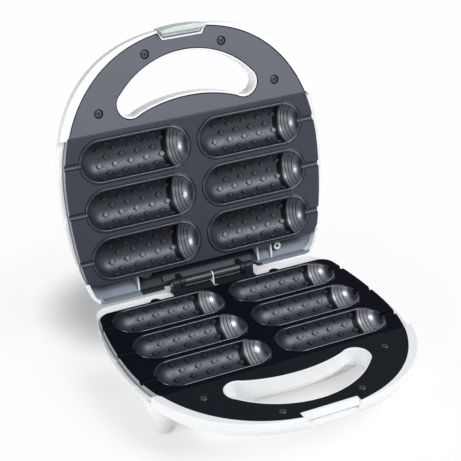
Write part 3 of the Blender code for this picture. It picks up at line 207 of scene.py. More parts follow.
# applies what was carved and clears the tools away
def settled(thing):
    graph = bpy.context.evaluated_depsgraph_get()
    data = bpy.data.meshes.new_from_object(thing.evaluated_get(graph))
    tools = []
    queue = [thing]
    while queue:
        for step in queue.pop().modifiers:
            if step.type == "BOOLEAN" and step.object not in tools:
                tools.append(step.object)
                queue.append(step.object)
    thing.modifiers.clear()
    thing.data = data
    for tool in tools:
        bpy.data.objects.remove(tool, do_unlink=True)
    shape = bmesh.new()
    shape.from_mesh(data)
    bmesh.ops.remove_doubles(shape, verts=shape.verts, dist=meshing["weldCut"])
    bmesh.ops.dissolve_degenerate(shape, edges=shape.edges, dist=meshing["weldCut"])
    shape.to_mesh(data)
    shape.free()
    return thing


# gives faces their own finishes: choose(centres, normals) returns a number for each face
def paint(thing, finishList, choose):
    count = len(thing.data.polygons)
    centres, normals = np.empty(count * 3), np.empty(count * 3)
    thing.data.polygons.foreach_get("center", centres)
    thing.data.polygons.foreach_get("normal", normals)
    marks = choose(centres.reshape(-1, 3), normals.reshape(-1, 3))
    thing.data.materials.clear()
    for finish in finishList:
        thing.data.materials.append(finish)
    thing.data.polygons.foreach_set("material_index", marks.astype(np.int32))
    return thing


# moves a finished shape to its world place, joins its parts, and hands it to the frame
def finishPiece(name, parts, half, body, finish, nodes, weighted=True):
    points, faces, start = [], [], 0
    kinds, marks = [finish], []
    turned = half != "lid"
    for part in parts:
        data = part.data
        own = [found or finish for found in data.materials] or [finish]
        kinds += [found for found in own if found not in kinds]
        index = np.zeros(len(data.polygons), dtype=np.int32)
        data.polygons.foreach_get("material_index", index)
        marks.append(np.array([kinds.index(found) for found in own])[np.clip(index, 0, len(own) - 1)])
        flat = np.empty(len(data.vertices) * 3)
        data.vertices.foreach_get("co", flat)
        points.append(flat.reshape(-1, 3))
        for polygon in data.polygons:
            corners = [corner + start for corner in polygon.vertices]
            faces.append(corners[::-1] if turned else corners)
        start += len(data.vertices)
        bpy.data.objects.remove(part, do_unlink=True)
    place = placeLid if half == "lid" else placeBase
    data = bpy.data.meshes.new(name)
    data.from_pydata(place(np.concatenate(points)).tolist(), [], faces)
    data.shade_smooth()
    data.set_sharp_from_angle(angle=math.radians(meshing["sharpAngle"]))
    axis = place(np.array([[0.0, 0.0, 1.0], [0.0, 0.0, 0.0]]))
    normals = np.empty(len(data.polygons) * 3)
    data.polygons.foreach_get("normal", normals)
    level = np.abs(normals.reshape(-1, 3) @ (axis[0] - axis[1])) > meshing["levelFrom"]
    data.polygons.foreach_set("use_smooth", ~level)
    thing = bpy.data.objects.new(name, data)
    bpy.context.scene.collection.objects.link(thing)
    if weighted:
        even = thing.modifiers.new("even", "WEIGHTED_NORMAL")
        even.keep_sharp = True
    for kind in kinds:
        data.materials.append(kind)
    data.polygons.foreach_set("material_index", np.concatenate(marks).astype(np.int32))
    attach(thing, body)
    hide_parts(*nodes)
    print("made", name, len(data.polygons), "faces")
    return thing


# a smooth curve through a few points, by lengths along them: a cubic between each two, whose slopes
# are the points' own mean slopes
def throughPoints(points, count):
    points = np.asarray(points, dtype=float)
    steps = np.concatenate([[0.0], np.cumsum(np.linalg.norm(np.diff(points, axis=0), axis=1))])
    slopes = np.gradient(points, steps, axis=0)
    spots = np.linspace(0.0, steps[-1], count)
    index = np.clip(np.searchsorted(steps, spots, side="right") - 1, 0, len(steps) - 2)
    width = (steps[index + 1] - steps[index])[:, None]
    t = (spots[:, None] - steps[index][:, None]) / width
    a, b = points[index], points[index + 1]
    ma, mb = slopes[index] * width, slopes[index + 1] * width
    return ((2 * t ** 3 - 3 * t ** 2 + 1) * a + (t ** 3 - 2 * t ** 2 + t) * ma
            + (3 * t ** 2 - 2 * t ** 3) * b + (t ** 3 - t ** 2) * mb)


# plan curves

# right half of an outline: a superellipse round the front, a large arc, a corner, the rear line
# and, where it is cut straight in front, only what lies behind the cut
def halfOutline(halfWidth, frontReach, roundness, sideRadius, rear, corner, frontCut=None):
    cutShare = 1.0 if frontCut is None else (machine["widestY"] - frontCut) / frontReach
    first = math.acos(cutShare ** (roundness / 2))
    angle = np.linspace(first, math.pi / 2, machine["curveSteps"] + 1)
    front = np.stack([halfWidth * np.sin(angle) ** (2 / roundness),
                      machine["widestY"] - frontReach * np.maximum(np.cos(angle), 0.0) ** (2 / roundness)],
                     axis=1)
    filletY = rear - corner
    filletDx = math.sqrt((sideRadius - corner) ** 2 - (filletY - machine["widestY"]) ** 2)
    filletX = halfWidth - sideRadius + filletDx
    sweep = math.atan2(filletY - machine["widestY"], filletDx)
    angle = np.linspace(0.0, sweep, machine["sideSteps"] + 1)[1:]
    side = np.stack([halfWidth - sideRadius * (1 - np.cos(angle)),
                     machine["widestY"] + sideRadius * np.sin(angle)], axis=1)
    angle = np.linspace(sweep, math.pi / 2, machine["cornerSteps"] + 1)[1:]
    turn = np.stack([filletX + corner * np.cos(angle), filletY + corner * np.sin(angle)], axis=1)
    rearSteps = machine["rearSteps"]
    rearLine = np.stack([np.linspace(filletX, 0.0, rearSteps + 1)[1:], np.full(rearSteps, rear)], axis=1)
    return np.concatenate([front, side, turn, rearLine])


# a right half and its mirror image, without the points on the middle line twice
def mirrored(half):
    left = half[::-1] * (-1, 1)
    return np.concatenate([half, left[left[:, 0] < -meshing["onMiddle"]]])


# the casing's outline, every radius and reach less the inset
def casingRing(inset):
    corner = max(machine["rearCorner"] - inset, machine["rearCorner"] / 4)
    return mirrored(halfOutline(machine["halfWidth"] - inset, machine["frontReach"] - inset,
                                machine["roundness"], machine["sideRadius"] - inset, rearY - inset, corner))


bowl = {"top": 0.0080, "frontY": -0.0500, "roundness": 3.6, "frontShare": 0.6,
        "base": {"depth": 0.0425, "inset": 0.0340,
                 "shares": ((0.0, 0.03), (0.174, 0.2), (0.406, 0.44), (0.638, 0.63), (0.84, 0.765),
                            (0.957, 0.87), (1.0, 1.0))},
        "lid": {"depth": 0.0410, "inset": 0.0520,
                "shares": ((0.0, 0.02), (0.18, 0.115), (0.39, 0.235), (0.6, 0.36), (0.79, 0.5),
                           (0.92, 0.66), (1.0, 1.0))},
        "points": 22}


# the bowl's outline: flatter in front, where it draws in by a share of the inset
def bowlRing(inset):
    return mirrored(halfOutline(machine["halfWidth"] - inset,
                                machine["widestY"] - bowl["frontY"] - inset * bowl["frontShare"],
                                bowl["roundness"], machine["sideRadius"] - inset, rearY - inset,
                                machine["rearCorner"] + inset / 2))


panel = {"rimSide": 0.0059, "rimFront": 0.0017, "roundness": 2.22, "face": 0.0005, "thickness": 0.0020,
         "edge": 0.00045, "screws": ((0.0800, -0.0600), (0.0344, -0.1009)), "screwHole": 0.0033,
         "screwSink": 0.0040, "sinkFoot": 0.0036, "sinkDepth": 0.0004, "sinkFloor": 0.0005,
         "openingFit": 0.0002,
         "moreSteps": 9, "edgeShare": 0.3, "flatFrom": 0.97, "paintedShadeFrom": 0.05}
plate = {"rim": 0.0051, "sideRadius": 0.3500, "frontY": -0.0440, "rearY": 0.0830, "corner": 0.0120,
         "face": 0.0010, "skirt": 0.0090, "wall": 0.0030, "edge": 0.0006, "tabX": 0.0560, "tabRadius": 0.0050,
         "tabReach": 0.0035, "lipTop": 0.0001, "lipWidth": 0.0020, "lipEdge": 0.0007, "lipRoot": 0.0015,
         "moatWidth": 0.0008, "moatDepth": 0.0009, "tabRise": 0.0001}
handle = {"bar": 0.0193, "openingDepth": 0.0384, "halfLength": 0.0515, "endRadius": 0.0125, "rise": 0.0172,
          "lip": 0.0018, "flare": 0.0035, "flareShare": 0.6, "depth": 0.0180, "rounding": 0.0140,
          "rimEdge": 0.0009, "rimSteps": 6, "wallSteps": 15, "flareOver": 0.0004,
          "openingEdge": ((0.0007, 0.0), (0.0002, 0.0002), (0.0, 0.0007)),
          "profile": ((0.47, 0.03), (0.72, 0.25), (0.92, 0.6), (1.0, 1.0)),
          "arcPoints": 57, "endPoints": 19, "flarePoints": 9}
shell = {"rearRim": 0.0014, "rearStagger": 0.0002, "rearCornerX": 0.0992, "rearFrom": 0.0446, "rearY": 0.0800,
         "meet": 0.0001, "wall": 0.0025, "rimStep": 0.0060, "stepFrom": 0.0010, "ledge": 0.0093,
         "ledgeInset": 0.0080, "ledgeClear": 0.0005, "fit": 0.0004, "slack": 0.0003,
         "mouth": (0.0004, 0.0004, 0.00012, 0.0, 0.0), "mouthDepths": (0.0, 0.00012, 0.0004)}


# the handle panel follows its own superellipse and is cut straight at the back
def panelRing(grow, backY):
    halfWidth = machine["halfWidth"] - panel["rimSide"] + grow
    reach = machine["frontReach"] - panel["rimFront"] + grow
    last = math.acos(((machine["widestY"] - backY) / reach) ** (panel["roundness"] / 2))
    angle = np.linspace(0.0, last, machine["curveSteps"] + panel["moreSteps"])
    curve = np.stack([halfWidth * np.sin(angle) ** (2 / panel["roundness"]),
                      machine["widestY"] - reach * np.cos(angle) ** (2 / panel["roundness"])], axis=1)
    return mirrored(curve)


# the cooking plate's outline, with the panel's curve in front of a straight cut
def plateRing(grow):
    half = halfOutline(machine["halfWidth"] - plate["rim"] + grow,
                       machine["frontReach"] - panel["rimFront"] + grow, panel["roundness"],
                       plate["sideRadius"] + grow, plate["rearY"] + grow, plate["corner"] + grow,
                       plate["frontY"] - grow)
    return mirrored(half)


# the crescent: a wide arc whose depth tapers towards round ends
def openingRing(grow):
    middleY = frontY + handle["bar"] + handle["openingDepth"] / 2
    radius = (handle["halfLength"] ** 2 + handle["rise"] ** 2) / (2 * handle["rise"])
    centreY = middleY + radius
    last = math.asin(handle["halfLength"] / radius)
    angle = np.linspace(-last, last, handle["arcPoints"])
    share = (angle / last) ** 2
    halfDepth = handle["openingDepth"] / 2 * (1 - share) + handle["endRadius"] * share + grow
    outer = np.stack([np.sin(angle) * (radius + halfDepth), centreY - np.cos(angle) * (radius + halfDepth)],
                     axis=1)
    inner = np.stack([np.sin(angle) * (radius - halfDepth), centreY - np.cos(angle) * (radius - halfDepth)],
                     axis=1)
    turn = last - math.pi / 2 + np.linspace(0.0, math.pi, handle["endPoints"])[1:-1]
    endX, endY = math.sin(last) * radius, centreY - math.cos(last) * radius
    end = np.stack([endX + np.cos(turn) * (handle["endRadius"] + grow),
                    endY + np.sin(turn) * (handle["endRadius"] + grow)], axis=1)
    return np.concatenate([outer, end, inner[::-1], end[::-1] * (-1, 1)])


# insets and depths of a rounded edge, from the flat face outwards: a quarter circle
def roundEdge(edge, start):
    angle = np.linspace(0.0, math.pi / 2, meshing["edgePoints"])
    return edge * (1 - np.sin(angle)), start + edge * (1 - np.cos(angle))


# a slot outline along X: straight sides and half-circle ends
def slotRing(centreX, centreY, straight, radius, steps, straightSteps=1):
    angle = np.linspace(-math.pi / 2, math.pi / 2, steps + 1)
    right = np.stack([centreX + straight + radius * np.cos(angle), centreY + radius * np.sin(angle)], axis=1)
    top = np.stack([np.linspace(centreX + straight, centreX - straight, straightSteps + 1)[1:-1],
                    np.full(straightSteps - 1, centreY + radius)], axis=1)
    half = np.concatenate([right, top])
    return np.concatenate([half, np.array([2 * centreX, 2 * centreY]) - half])


# finishes

# the round right ends of the cavities carry a painted highlight: bands of X, with soft edges, that lead to
# a brighter finish
def paintHighlight(nodes, links, shader, place, tint, ends):
    apart = nodes.new("ShaderNodeSeparateXYZ")
    links.new(place.outputs["Object"], apart.inputs["Vector"])
    total = None
    for low, high in ends["bands"]:
        for start, stop, sign in ((low, low + ends["riseOver"], "ADD"),
                                  (high - ends["fallOver"], high, "SUBTRACT")):
            rise = nodes.new("ShaderNodeMapRange")
            rise.interpolation_type = "SMOOTHSTEP"
            rise.inputs["From Min"].default_value, rise.inputs["From Max"].default_value = start, stop
            links.new(apart.outputs["X"], rise.inputs["Value"])
            if total is None:
                total = rise.outputs["Result"]
                continue
            joined = nodes.new("ShaderNodeMath")
            joined.operation = sign
            links.new(total, joined.inputs[0])
            links.new(rise.outputs["Result"], joined.inputs[1])
            total = joined.outputs[0]
    colour = nodes.new("ShaderNodeMix")
    colour.data_type = "RGBA"
    colour.inputs["B"].default_value = (*ends["colour"], 1.0)
    links.new(total, colour.inputs["Factor"])
    links.new(tint.outputs["Result"], colour.inputs["A"])
    links.new(colour.outputs["Result"], shader.inputs["Base Color"])
    metal = nodes.new("ShaderNodeMath")
    metal.operation = "MULTIPLY"
    metal.inputs[1].default_value = ends["metallic"]
    links.new(total, metal.inputs[0])
    links.new(metal.outputs[0], shader.inputs["Metallic"])
    smoother = nodes.new("ShaderNodeMix")
    smoother.name = "smoother"
    smoother.data_type = "FLOAT"
    smoother.inputs["B"].default_value = ends["roughness"]
    links.new(total, smoother.inputs["Factor"])
    links.new(smoother.outputs["Result"], shader.inputs["Roughness"])


# what a finish has where its look says nothing else
anyLook = {"coatRoughness": 0.1, "cloudScale": 35.0, "cloudDetail": 5.0, "grainScale": 2200.0,
           "grainDetail": 3.0, "worn": (0.3, 0.7), "reliefStrength": 0.2, "relief": 0.00003}


# colour, roughness and a fine relief, each varied by noise on the piece's own coordinates
def finishOf(name, look):
    made = bpy.data.materials.new(name)
    made.use_nodes = True
    nodes, links = made.node_tree.nodes, made.node_tree.links
    shader = nodes["Principled BSDF"]
    shader.inputs["Metallic"].default_value = look.get("metallic", 0.0)
    shader.inputs["Specular IOR Level"].default_value = look.get("specular", 0.5)
    shader.inputs["Specular Tint"].default_value = (*look.get("tint", (1.0, 1.0, 1.0)), 1.0)
    shader.inputs["Coat Weight"].default_value = look.get("coat", 0.0)
    shader.inputs["Coat Roughness"].default_value = anyLook["coatRoughness"]
    shader.inputs["Transmission Weight"].default_value = look.get("clear", 0.0)
    place = nodes.new("ShaderNodeTexCoord")
    cloud = nodes.new("ShaderNodeTexNoise")
    cloud.inputs["Scale"].default_value = look.get("cloudScale", anyLook["cloudScale"])
    cloud.inputs["Detail"].default_value = anyLook["cloudDetail"]
    links.new(place.outputs["Object"], cloud.inputs["Vector"])
    tint = nodes.new("ShaderNodeMix")
    tint.data_type = "RGBA"
    tint.inputs["A"].default_value = (*look["colour"], 1.0)
    tint.inputs["B"].default_value = (*look["shade"], 1.0)
    links.new(cloud.outputs["Fac"], tint.inputs["Factor"])
    links.new(tint.outputs["Result"], shader.inputs["Base Color"])
    # a painted highlight on bands of X where the look has one
    if "paintedHighlight" in look:
        paintHighlight(nodes, links, shader, place, tint, look["paintedHighlight"])
    grain = nodes.new("ShaderNodeTexNoise")
    grain.inputs["Scale"].default_value = look.get("grainScale", anyLook["grainScale"])
    grain.inputs["Detail"].default_value = anyLook["grainDetail"]
    if "stretch" in look:
        stretch = nodes.new("ShaderNodeMapping")
        stretch.inputs["Scale"].default_value = look["stretch"]
        links.new(place.outputs["Object"], stretch.inputs["Vector"])
        links.new(stretch.outputs["Vector"], grain.inputs["Vector"])
    else:
        links.new(place.outputs["Object"], grain.inputs["Vector"])
    worn = nodes.new("ShaderNodeMapRange")
    worn.inputs["From Min"].default_value = anyLook["worn"][0]
    worn.inputs["From Max"].default_value = anyLook["worn"][1]
    worn.inputs["To Min"].default_value = look["roughness"][0]
    worn.inputs["To Max"].default_value = look["roughness"][1]
    mixed = nodes.new("ShaderNodeMix")
    mixed.data_type = "FLOAT"
    mixed.inputs["Factor"].default_value = 0.5
    links.new(cloud.outputs["Fac"], mixed.inputs["A"])
    links.new(grain.outputs["Fac"], mixed.inputs["B"])
    links.new(mixed.outputs["Result"], worn.inputs["Value"])
    if "paintedHighlight" not in look:
        links.new(worn.outputs["Result"], shader.inputs["Roughness"])
    else:
        smoother = nodes["smoother"]
        links.new(worn.outputs["Result"], smoother.inputs["A"])
    relief = nodes.new("ShaderNodeBump")
    relief.inputs["Strength"].default_value = look.get("reliefStrength", anyLook["reliefStrength"])
    relief.inputs["Distance"].default_value = look.get("relief", anyLook["relief"])
    links.new(grain.outputs["Fac"], relief.inputs["Height"])
    links.new(relief.outputs["Normal"], shader.inputs["Normal"])
    made.diffuse_color = (*look["colour"], 1.0)
    return made


coolTint = (0.80, 0.87, 1.0)
# painted highlight on the cavities' right ends: its colour, metallic share and roughness, and where its bands
# begin and end
baseHighlight = {"bands": ((-0.0186, -0.0064), (0.0869, 0.0991)), "colour": (0.44, 0.45, 0.49), "metallic": 0.62,
            "roughness": 0.33, "riseOver": 0.0005, "fallOver": 0.0030}
lidHighlight = {**baseHighlight, "colour": (0.25, 0.26, 0.29), "metallic": 0.55, "roughness": 0.30}
looks = {
    "whitePlastic": {"colour": (0.84, 0.85, 0.86), "shade": (0.81, 0.82, 0.83), "roughness": (0.24, 0.32),
                     "grainScale": 900.0, "relief": 0.00002, "reliefStrength": 0.12},
    "blackPanel": {"colour": (0.0075, 0.0095, 0.0130), "shade": (0.0100, 0.0125, 0.0165),
                   "roughness": (0.36, 0.46), "specular": 0.08, "tint": coolTint, "grainScale": 3200.0,
                   "relief": 0.00005, "reliefStrength": 0.35},
    "greyPanel": {"colour": (0.104, 0.114, 0.138), "shade": (0.119, 0.130, 0.155), "roughness": (0.42, 0.52),
                  "specular": 0.4, "grainScale": 3200.0, "relief": 0.00005, "reliefStrength": 0.35},
    # the plate and lip looks of the two halves are one coating in two copies: darker on the base as painted
    # shade, lighter on the lid as painted light
    "basePlate": {"colour": (0.0040, 0.0046, 0.0080), "shade": (0.0062, 0.0070, 0.0115),
                  "roughness": (0.36, 0.46), "specular": 0.02, "tint": coolTint, "grainScale": 2600.0,
                  "cloudScale": 60.0, "relief": 0.00004, "reliefStrength": 0.4},
    "lidPlate": {"colour": (0.0270, 0.0300, 0.0400), "shade": (0.0340, 0.0380, 0.0500),
                 "roughness": (0.34, 0.44), "specular": 0.5, "tint": coolTint, "grainScale": 2600.0,
                 "cloudScale": 60.0, "relief": 0.00004, "reliefStrength": 0.4},
    "baseLip": {"colour": (0.0060, 0.0068, 0.0110), "shade": (0.0090, 0.0100, 0.0150),
                "roughness": (0.14, 0.22), "specular": 1.0, "tint": coolTint, "grainScale": 2600.0,
                "relief": 0.00003, "reliefStrength": 0.3},
    "lidLip": {"colour": (0.0230, 0.0260, 0.0350), "shade": (0.0290, 0.0330, 0.0440),
               "roughness": (0.22, 0.34), "specular": 0.7, "tint": coolTint, "grainScale": 2600.0,
               "relief": 0.00003, "reliefStrength": 0.3},
    "baseCavity": {"colour": (0.0060, 0.0068, 0.0100), "shade": (0.0200, 0.0220, 0.0290),
                   "roughness": (0.32, 0.54), "specular": 0.80, "tint": coolTint, "grainScale": 900.0,
                   "cloudScale": 240.0, "relief": 0.00014, "reliefStrength": 0.6, "paintedHighlight": baseHighlight},
    "lidCavity": {"colour": (0.0060, 0.0070, 0.0095), "shade": (0.0230, 0.0250, 0.0300),
                  "roughness": (0.32, 0.54), "specular": 0.80, "tint": coolTint, "grainScale": 900.0,
                  "cloudScale": 240.0, "relief": 0.00016, "reliefStrength": 0.65, "paintedHighlight": lidHighlight},
    # painted shade: near-black on the studs' sides and foot rings and on the ribs at the cavities' right ends
    "paintedCavityShade": {"colour": (0.0016, 0.0018, 0.0026), "shade": (0.0034, 0.0038, 0.0050),
                    "roughness": (0.40, 0.55), "specular": 0.10, "grainScale": 1500.0, "relief": 0.00005,
                    "reliefStrength": 0.3},
    # the stud looks likewise: darker on the base as painted shade, lighter on the lid as painted light
    "baseStud": {"colour": (0.014, 0.016, 0.020), "shade": (0.030, 0.033, 0.039), "roughness": (0.32, 0.50),
                 "specular": 0.6, "tint": coolTint, "grainScale": 1500.0, "relief": 0.00003,
                 "reliefStrength": 0.3},
    "lidStud": {"colour": (0.028, 0.031, 0.036), "shade": (0.046, 0.050, 0.057), "roughness": (0.28, 0.44),
                "specular": 0.7, "tint": coolTint, "grainScale": 1500.0, "relief": 0.00003,
                "reliefStrength": 0.3},
    "plateSide": {"colour": (0.32, 0.335, 0.355), "shade": (0.42, 0.44, 0.46), "roughness": (0.34, 0.48),
                  "metallic": 0.25, "grainScale": 1800.0, "relief": 0.00004, "reliefStrength": 0.3},
    # painted shade: blue-grey on the white lid casing's inside behind the plate and on its rear rim, where
    # they lie in shade
    "paintedHollowShade": {"colour": (0.180, 0.215, 0.265), "shade": (0.215, 0.255, 0.310),
                    "roughness": (0.45, 0.60), "specular": 0.3, "grainScale": 900.0, "relief": 0.00003,
                    "reliefStrength": 0.2},
    # deeper painted shade: near-black on the lid casing's inside between the ribs of its rear hollow
    "paintedDeepShade": {"colour": (0.018, 0.022, 0.028), "shade": (0.026, 0.030, 0.037), "roughness": (0.50, 0.65),
                   "specular": 0.2, "grainScale": 900.0, "relief": 0.00003, "reliefStrength": 0.2},
    # painted shade: near-black in the seams round the panels and on the panels' edges
    "gap": {"colour": (0.010, 0.011, 0.013), "shade": (0.016, 0.017, 0.019), "roughness": (0.60, 0.75),
            "specular": 0.1, "grainScale": 900.0, "relief": 0.00002, "reliefStrength": 0.1},
    "darkHinge": {"colour": (0.010, 0.012, 0.016), "shade": (0.018, 0.021, 0.027), "roughness": (0.36, 0.52),
                  "specular": 0.3, "tint": coolTint, "grainScale": 1800.0, "relief": 0.00005,
                  "reliefStrength": 0.3},
    "greySleeve": {"colour": (0.030, 0.033, 0.040), "shade": (0.050, 0.054, 0.064), "roughness": (0.28, 0.42),
                   "metallic": 0.35, "grainScale": 1400.0, "stretch": (0.05, 1.0, 1.0), "relief": 0.00004,
                   "reliefStrength": 0.3},
    "plainSteel": {"colour": (0.50, 0.51, 0.52), "shade": (0.40, 0.41, 0.42), "roughness": (0.24, 0.38),
                   "metallic": 1.0, "grainScale": 1500.0, "stretch": (0.06, 1.0, 1.0), "relief": 0.00002,
                   "reliefStrength": 0.25},
    "darkScrew": {"colour": (0.085, 0.090, 0.100), "shade": (0.130, 0.135, 0.150), "roughness": (0.26, 0.42),
                  "metallic": 0.7, "grainScale": 2400.0, "relief": 0.00003, "reliefStrength": 0.3},
    "paleLatch": {"colour": (0.62, 0.66, 0.67), "shade": (0.57, 0.61, 0.62), "roughness": (0.28, 0.40),
                  "grainScale": 1000.0, "relief": 0.00002, "reliefStrength": 0.15},
    "rubber": {"colour": (0.020, 0.020, 0.021), "shade": (0.034, 0.034, 0.035), "roughness": (0.70, 0.88),
               "specular": 0.3, "grainScale": 1600.0, "relief": 0.00008, "reliefStrength": 0.5},
    "heaterSheath": {"colour": (0.23, 0.22, 0.21), "shade": (0.14, 0.12, 0.11), "roughness": (0.38, 0.62),
                     "metallic": 1.0, "grainScale": 900.0, "relief": 0.00003, "reliefStrength": 0.3},
    "ceramic": {"colour": (0.70, 0.68, 0.62), "shade": (0.62, 0.60, 0.54), "roughness": (0.45, 0.62),
                "grainScale": 1300.0, "relief": 0.00005, "reliefStrength": 0.4},
    "redLens": {"colour": (0.50, 0.02, 0.015), "shade": (0.42, 0.015, 0.012), "roughness": (0.10, 0.16),
                "clear": 0.35, "coat": 0.4, "grainScale": 600.0, "relief": 0.00001, "reliefStrength": 0.1},
    "greenLens": {"colour": (0.02, 0.36, 0.06), "shade": (0.016, 0.30, 0.05), "roughness": (0.10, 0.16),
                  "clear": 0.35, "coat": 0.4, "grainScale": 600.0, "relief": 0.00001, "reliefStrength": 0.1},
    "lampGlass": {"colour": (0.80, 0.62, 0.50), "shade": (0.74, 0.56, 0.44), "roughness": (0.06, 0.12),
                  "clear": 0.8, "grainScale": 500.0, "relief": 0.00001, "reliefStrength": 0.1},
}
finishes = {name: finishOf(name, look) for name, look in looks.items()}
print("finishes made:", len(finishes))

# camera, light and floor

view = {"azimuth": -26.591, "elevation": 29.001, "roll": 0.104, "distance": 1.1531,
        "aside": (-0.0245, 0.0817), "focal": 1430.9, "width": 461, "sensor": 36.0,
        "nearest": 0.01}


# azimuth, elevation and roll turn it; it stands off the rims' middle, aside by the photograph's framing
def makeCamera():
    azimuth, elevation, roll = (math.radians(view[key]) for key in ("azimuth", "elevation", "roll"))
    back = Vector((math.sin(azimuth) * math.cos(elevation), -math.cos(azimuth) * math.cos(elevation),
                   math.sin(elevation)))
    right = Vector((0, 0, 1)).cross(back).normalized()
    up = back.cross(right)
    rolledRight = right * math.cos(roll) + up * math.sin(roll)
    rolledUp = up * math.cos(roll) - right * math.sin(roll)
    rows = Matrix((rolledRight, rolledUp, back))
    lens = bpy.data.cameras.new("camera")
    lens.sensor_width = view["sensor"]
    lens.lens = view["focal"] / view["width"] * view["sensor"]
    lens.clip_start = view["nearest"]
    camera = bpy.data.objects.new("camera", lens)
    bpy.context.scene.collection.objects.link(camera)
    place = rows.transposed().to_4x4()
    spot = rows.transposed() @ Vector((*view["aside"], view["distance"]))
    place.translation = spot + Vector((0.0, -machine["middleY"], machine["baseHeight"]))
    camera.matrix_world = place
    bpy.context.scene.camera = camera


light = {"ambient": 0.29, "ambientColour": (0.94, 0.97, 1.0),
         "key": 21.0, "keyPlace": (0.60, -0.88, 1.25), "keySize": 1.00,
         "side": 8.0, "sidePlace": (-1.25, -0.30, 0.38), "sideSize": 0.60,
         "white": 0.985, "floorColour": (0.97, 0.97, 0.97), "floorRoughness": 0.9,
         "near": (0.0, 0.0, 0.0), "nearHalf": (0.0, 0.0, 0.0), "nearReach": (0.14, 0.34),
         "nearGlow": 0.85,
         "under": (0.0, -0.02, 0.0), "underHalf": (0.105, 0.045, 0.0), "underReach": (0.0, 0.05),
         "underGlow": 0.62,
         "rear": (0.0, 0.13, 0.0), "rearHalf": (0.05, 0.0, 0.0), "rearReach": (0.035, 0.095),
         "rearGlow": 0.02,
         "wallRadius": 3.0, "wallHeight": 0.3, "wallSteps": 96, "aimHeight": 0.08, "floorDrop": 0.0002}


# a round soft light that faces the object's middle
def areaLight(name, power, place, size):
    lamp = bpy.data.lights.new(name, "AREA")
    lamp.energy = power
    lamp.shape = "DISK"
    lamp.size = size
    thing = bpy.data.objects.new(name, lamp)
    thing.location = place
    away = Vector(place) - Vector((0.0, 0.0, light["aimHeight"]))
    thing.rotation_euler = away.to_track_quat("Z", "Y").to_euler()
    bpy.context.scene.collection.objects.link(thing)


# white to the eye and in gloss and glass; shares of it round the object, under the base and behind it are
# left to shadow, each by the distance from a rectangle: the length of what lies past its half sizes
def studioWhite(name, places):
    made = bpy.data.materials.new(name)
    made.use_nodes = True
    nodes, links = made.node_tree.nodes, made.node_tree.links
    shader = nodes["Principled BSDF"]
    shader.inputs["Base Color"].default_value = (*light["floorColour"], 1.0)
    shader.inputs["Roughness"].default_value = light["floorRoughness"]
    shader.inputs["Specular IOR Level"].default_value = 0.0
    glow = nodes.new("ShaderNodeEmission")
    glow.inputs["Strength"].default_value = light["white"]
    path = nodes.new("ShaderNodeLightPath")
    share = path.outputs["Is Camera Ray"]
    for word in ("Is Glossy Ray", "Is Transmission Ray"):
        seen = nodes.new("ShaderNodeMath")
        seen.operation = "MAXIMUM"
        links.new(share, seen.inputs[0])
        links.new(path.outputs[word], seen.inputs[1])
        share = seen.outputs[0]
    coords = nodes.new("ShaderNodeTexCoord")
    for centre, half, reach, least in places:
        link = coords.outputs["Object"]
        for operation, value in (("SUBTRACT", centre), ("ABSOLUTE", None), ("SUBTRACT", half),
                                 ("MAXIMUM", (0.0, 0.0, 0.0)), ("LENGTH", None)):
            away = nodes.new("ShaderNodeVectorMath")
            away.operation = operation
            if value is not None:
                away.inputs[1].default_value = value
            links.new(link, away.inputs[0])
            link = away.outputs["Value" if operation == "LENGTH" else "Vector"]
        fade = nodes.new("ShaderNodeMapRange")
        fade.interpolation_type = "SMOOTHSTEP"
        fade.inputs["From Min"].default_value, fade.inputs["From Max"].default_value = reach
        fade.inputs["To Min"].default_value = least
        fade.inputs["To Max"].default_value = 1.0
        links.new(link, fade.inputs["Value"])
        part = nodes.new("ShaderNodeMath")
        part.operation = "MULTIPLY"
        links.new(share, part.inputs[0])
        links.new(fade.outputs["Result"], part.inputs[1])
        share = part.outputs[0]
    mix = nodes.new("ShaderNodeMixShader")
    links.new(share, mix.inputs["Fac"])
    links.new(shader.outputs[0], mix.inputs[1])
    links.new(glow.outputs[0], mix.inputs[2])
    links.new(mix.outputs[0], nodes["Material Output"].inputs["Surface"])
    return made


# a plain floor and a low round white wall far behind it, under an even grey sky
def makeRoom():
    world = bpy.data.worlds.new("studio")
    world.use_nodes = True
    sky = world.node_tree.nodes["Background"]
    sky.inputs["Color"].default_value = (*light["ambientColour"], 1.0)
    sky.inputs["Strength"].default_value = light["ambient"]
    bpy.context.scene.world = world
    areaLight("keyLight", light["key"], light["keyPlace"], light["keySize"])
    areaLight("sideLight", light["side"], light["sidePlace"], light["sideSize"])
    steps = light["wallSteps"]
    angle = np.arange(steps) / steps * 2 * math.pi
    circle = np.stack([np.cos(angle), np.sin(angle), np.zeros(steps)], axis=1) * light["wallRadius"]
    wall = np.stack([circle, circle + (0.0, 0.0, light["wallHeight"])])
    floor = bpy.data.meshes.new("studioFloor")
    floor.from_pydata(circle.tolist(), [], [list(range(steps))])
    floor.materials.append(studioWhite("studioFloor",
                                       [[light[word + key] for key in ("", "Half", "Reach", "Glow")]
                                        for word in ("near", "under", "rear")]))
    around = bpy.data.meshes.new("studioWall")
    around.from_pydata(wall.reshape(-1, 3).tolist(), [], gridFaces(2, steps)[:, ::-1].tolist())
    around.materials.append(studioWhite("studioWall", ()))
    for data in (floor, around):
        thing = bpy.data.objects.new(data.name, data)
        thing.location.z = -light["floorDrop"]
        bpy.context.scene.collection.objects.link(thing)


makeCamera()
makeRoom()
bpy.context.scene.view_settings.view_transform = "Standard"
print("camera, light and floor stand")


# casings

# left and right places of the panel's screws, and of the plate's rear tabs
def screwSpots():
    return [(side * x, y) for x, y in panel["screws"] for side in (-1, 1)]


def tabSpots():
    y = plate["rearY"] + plate["tabReach"] - plate["tabRadius"]
    return [(side, (side * plate["tabX"], y, 0.0)) for side in (-1, 1)]


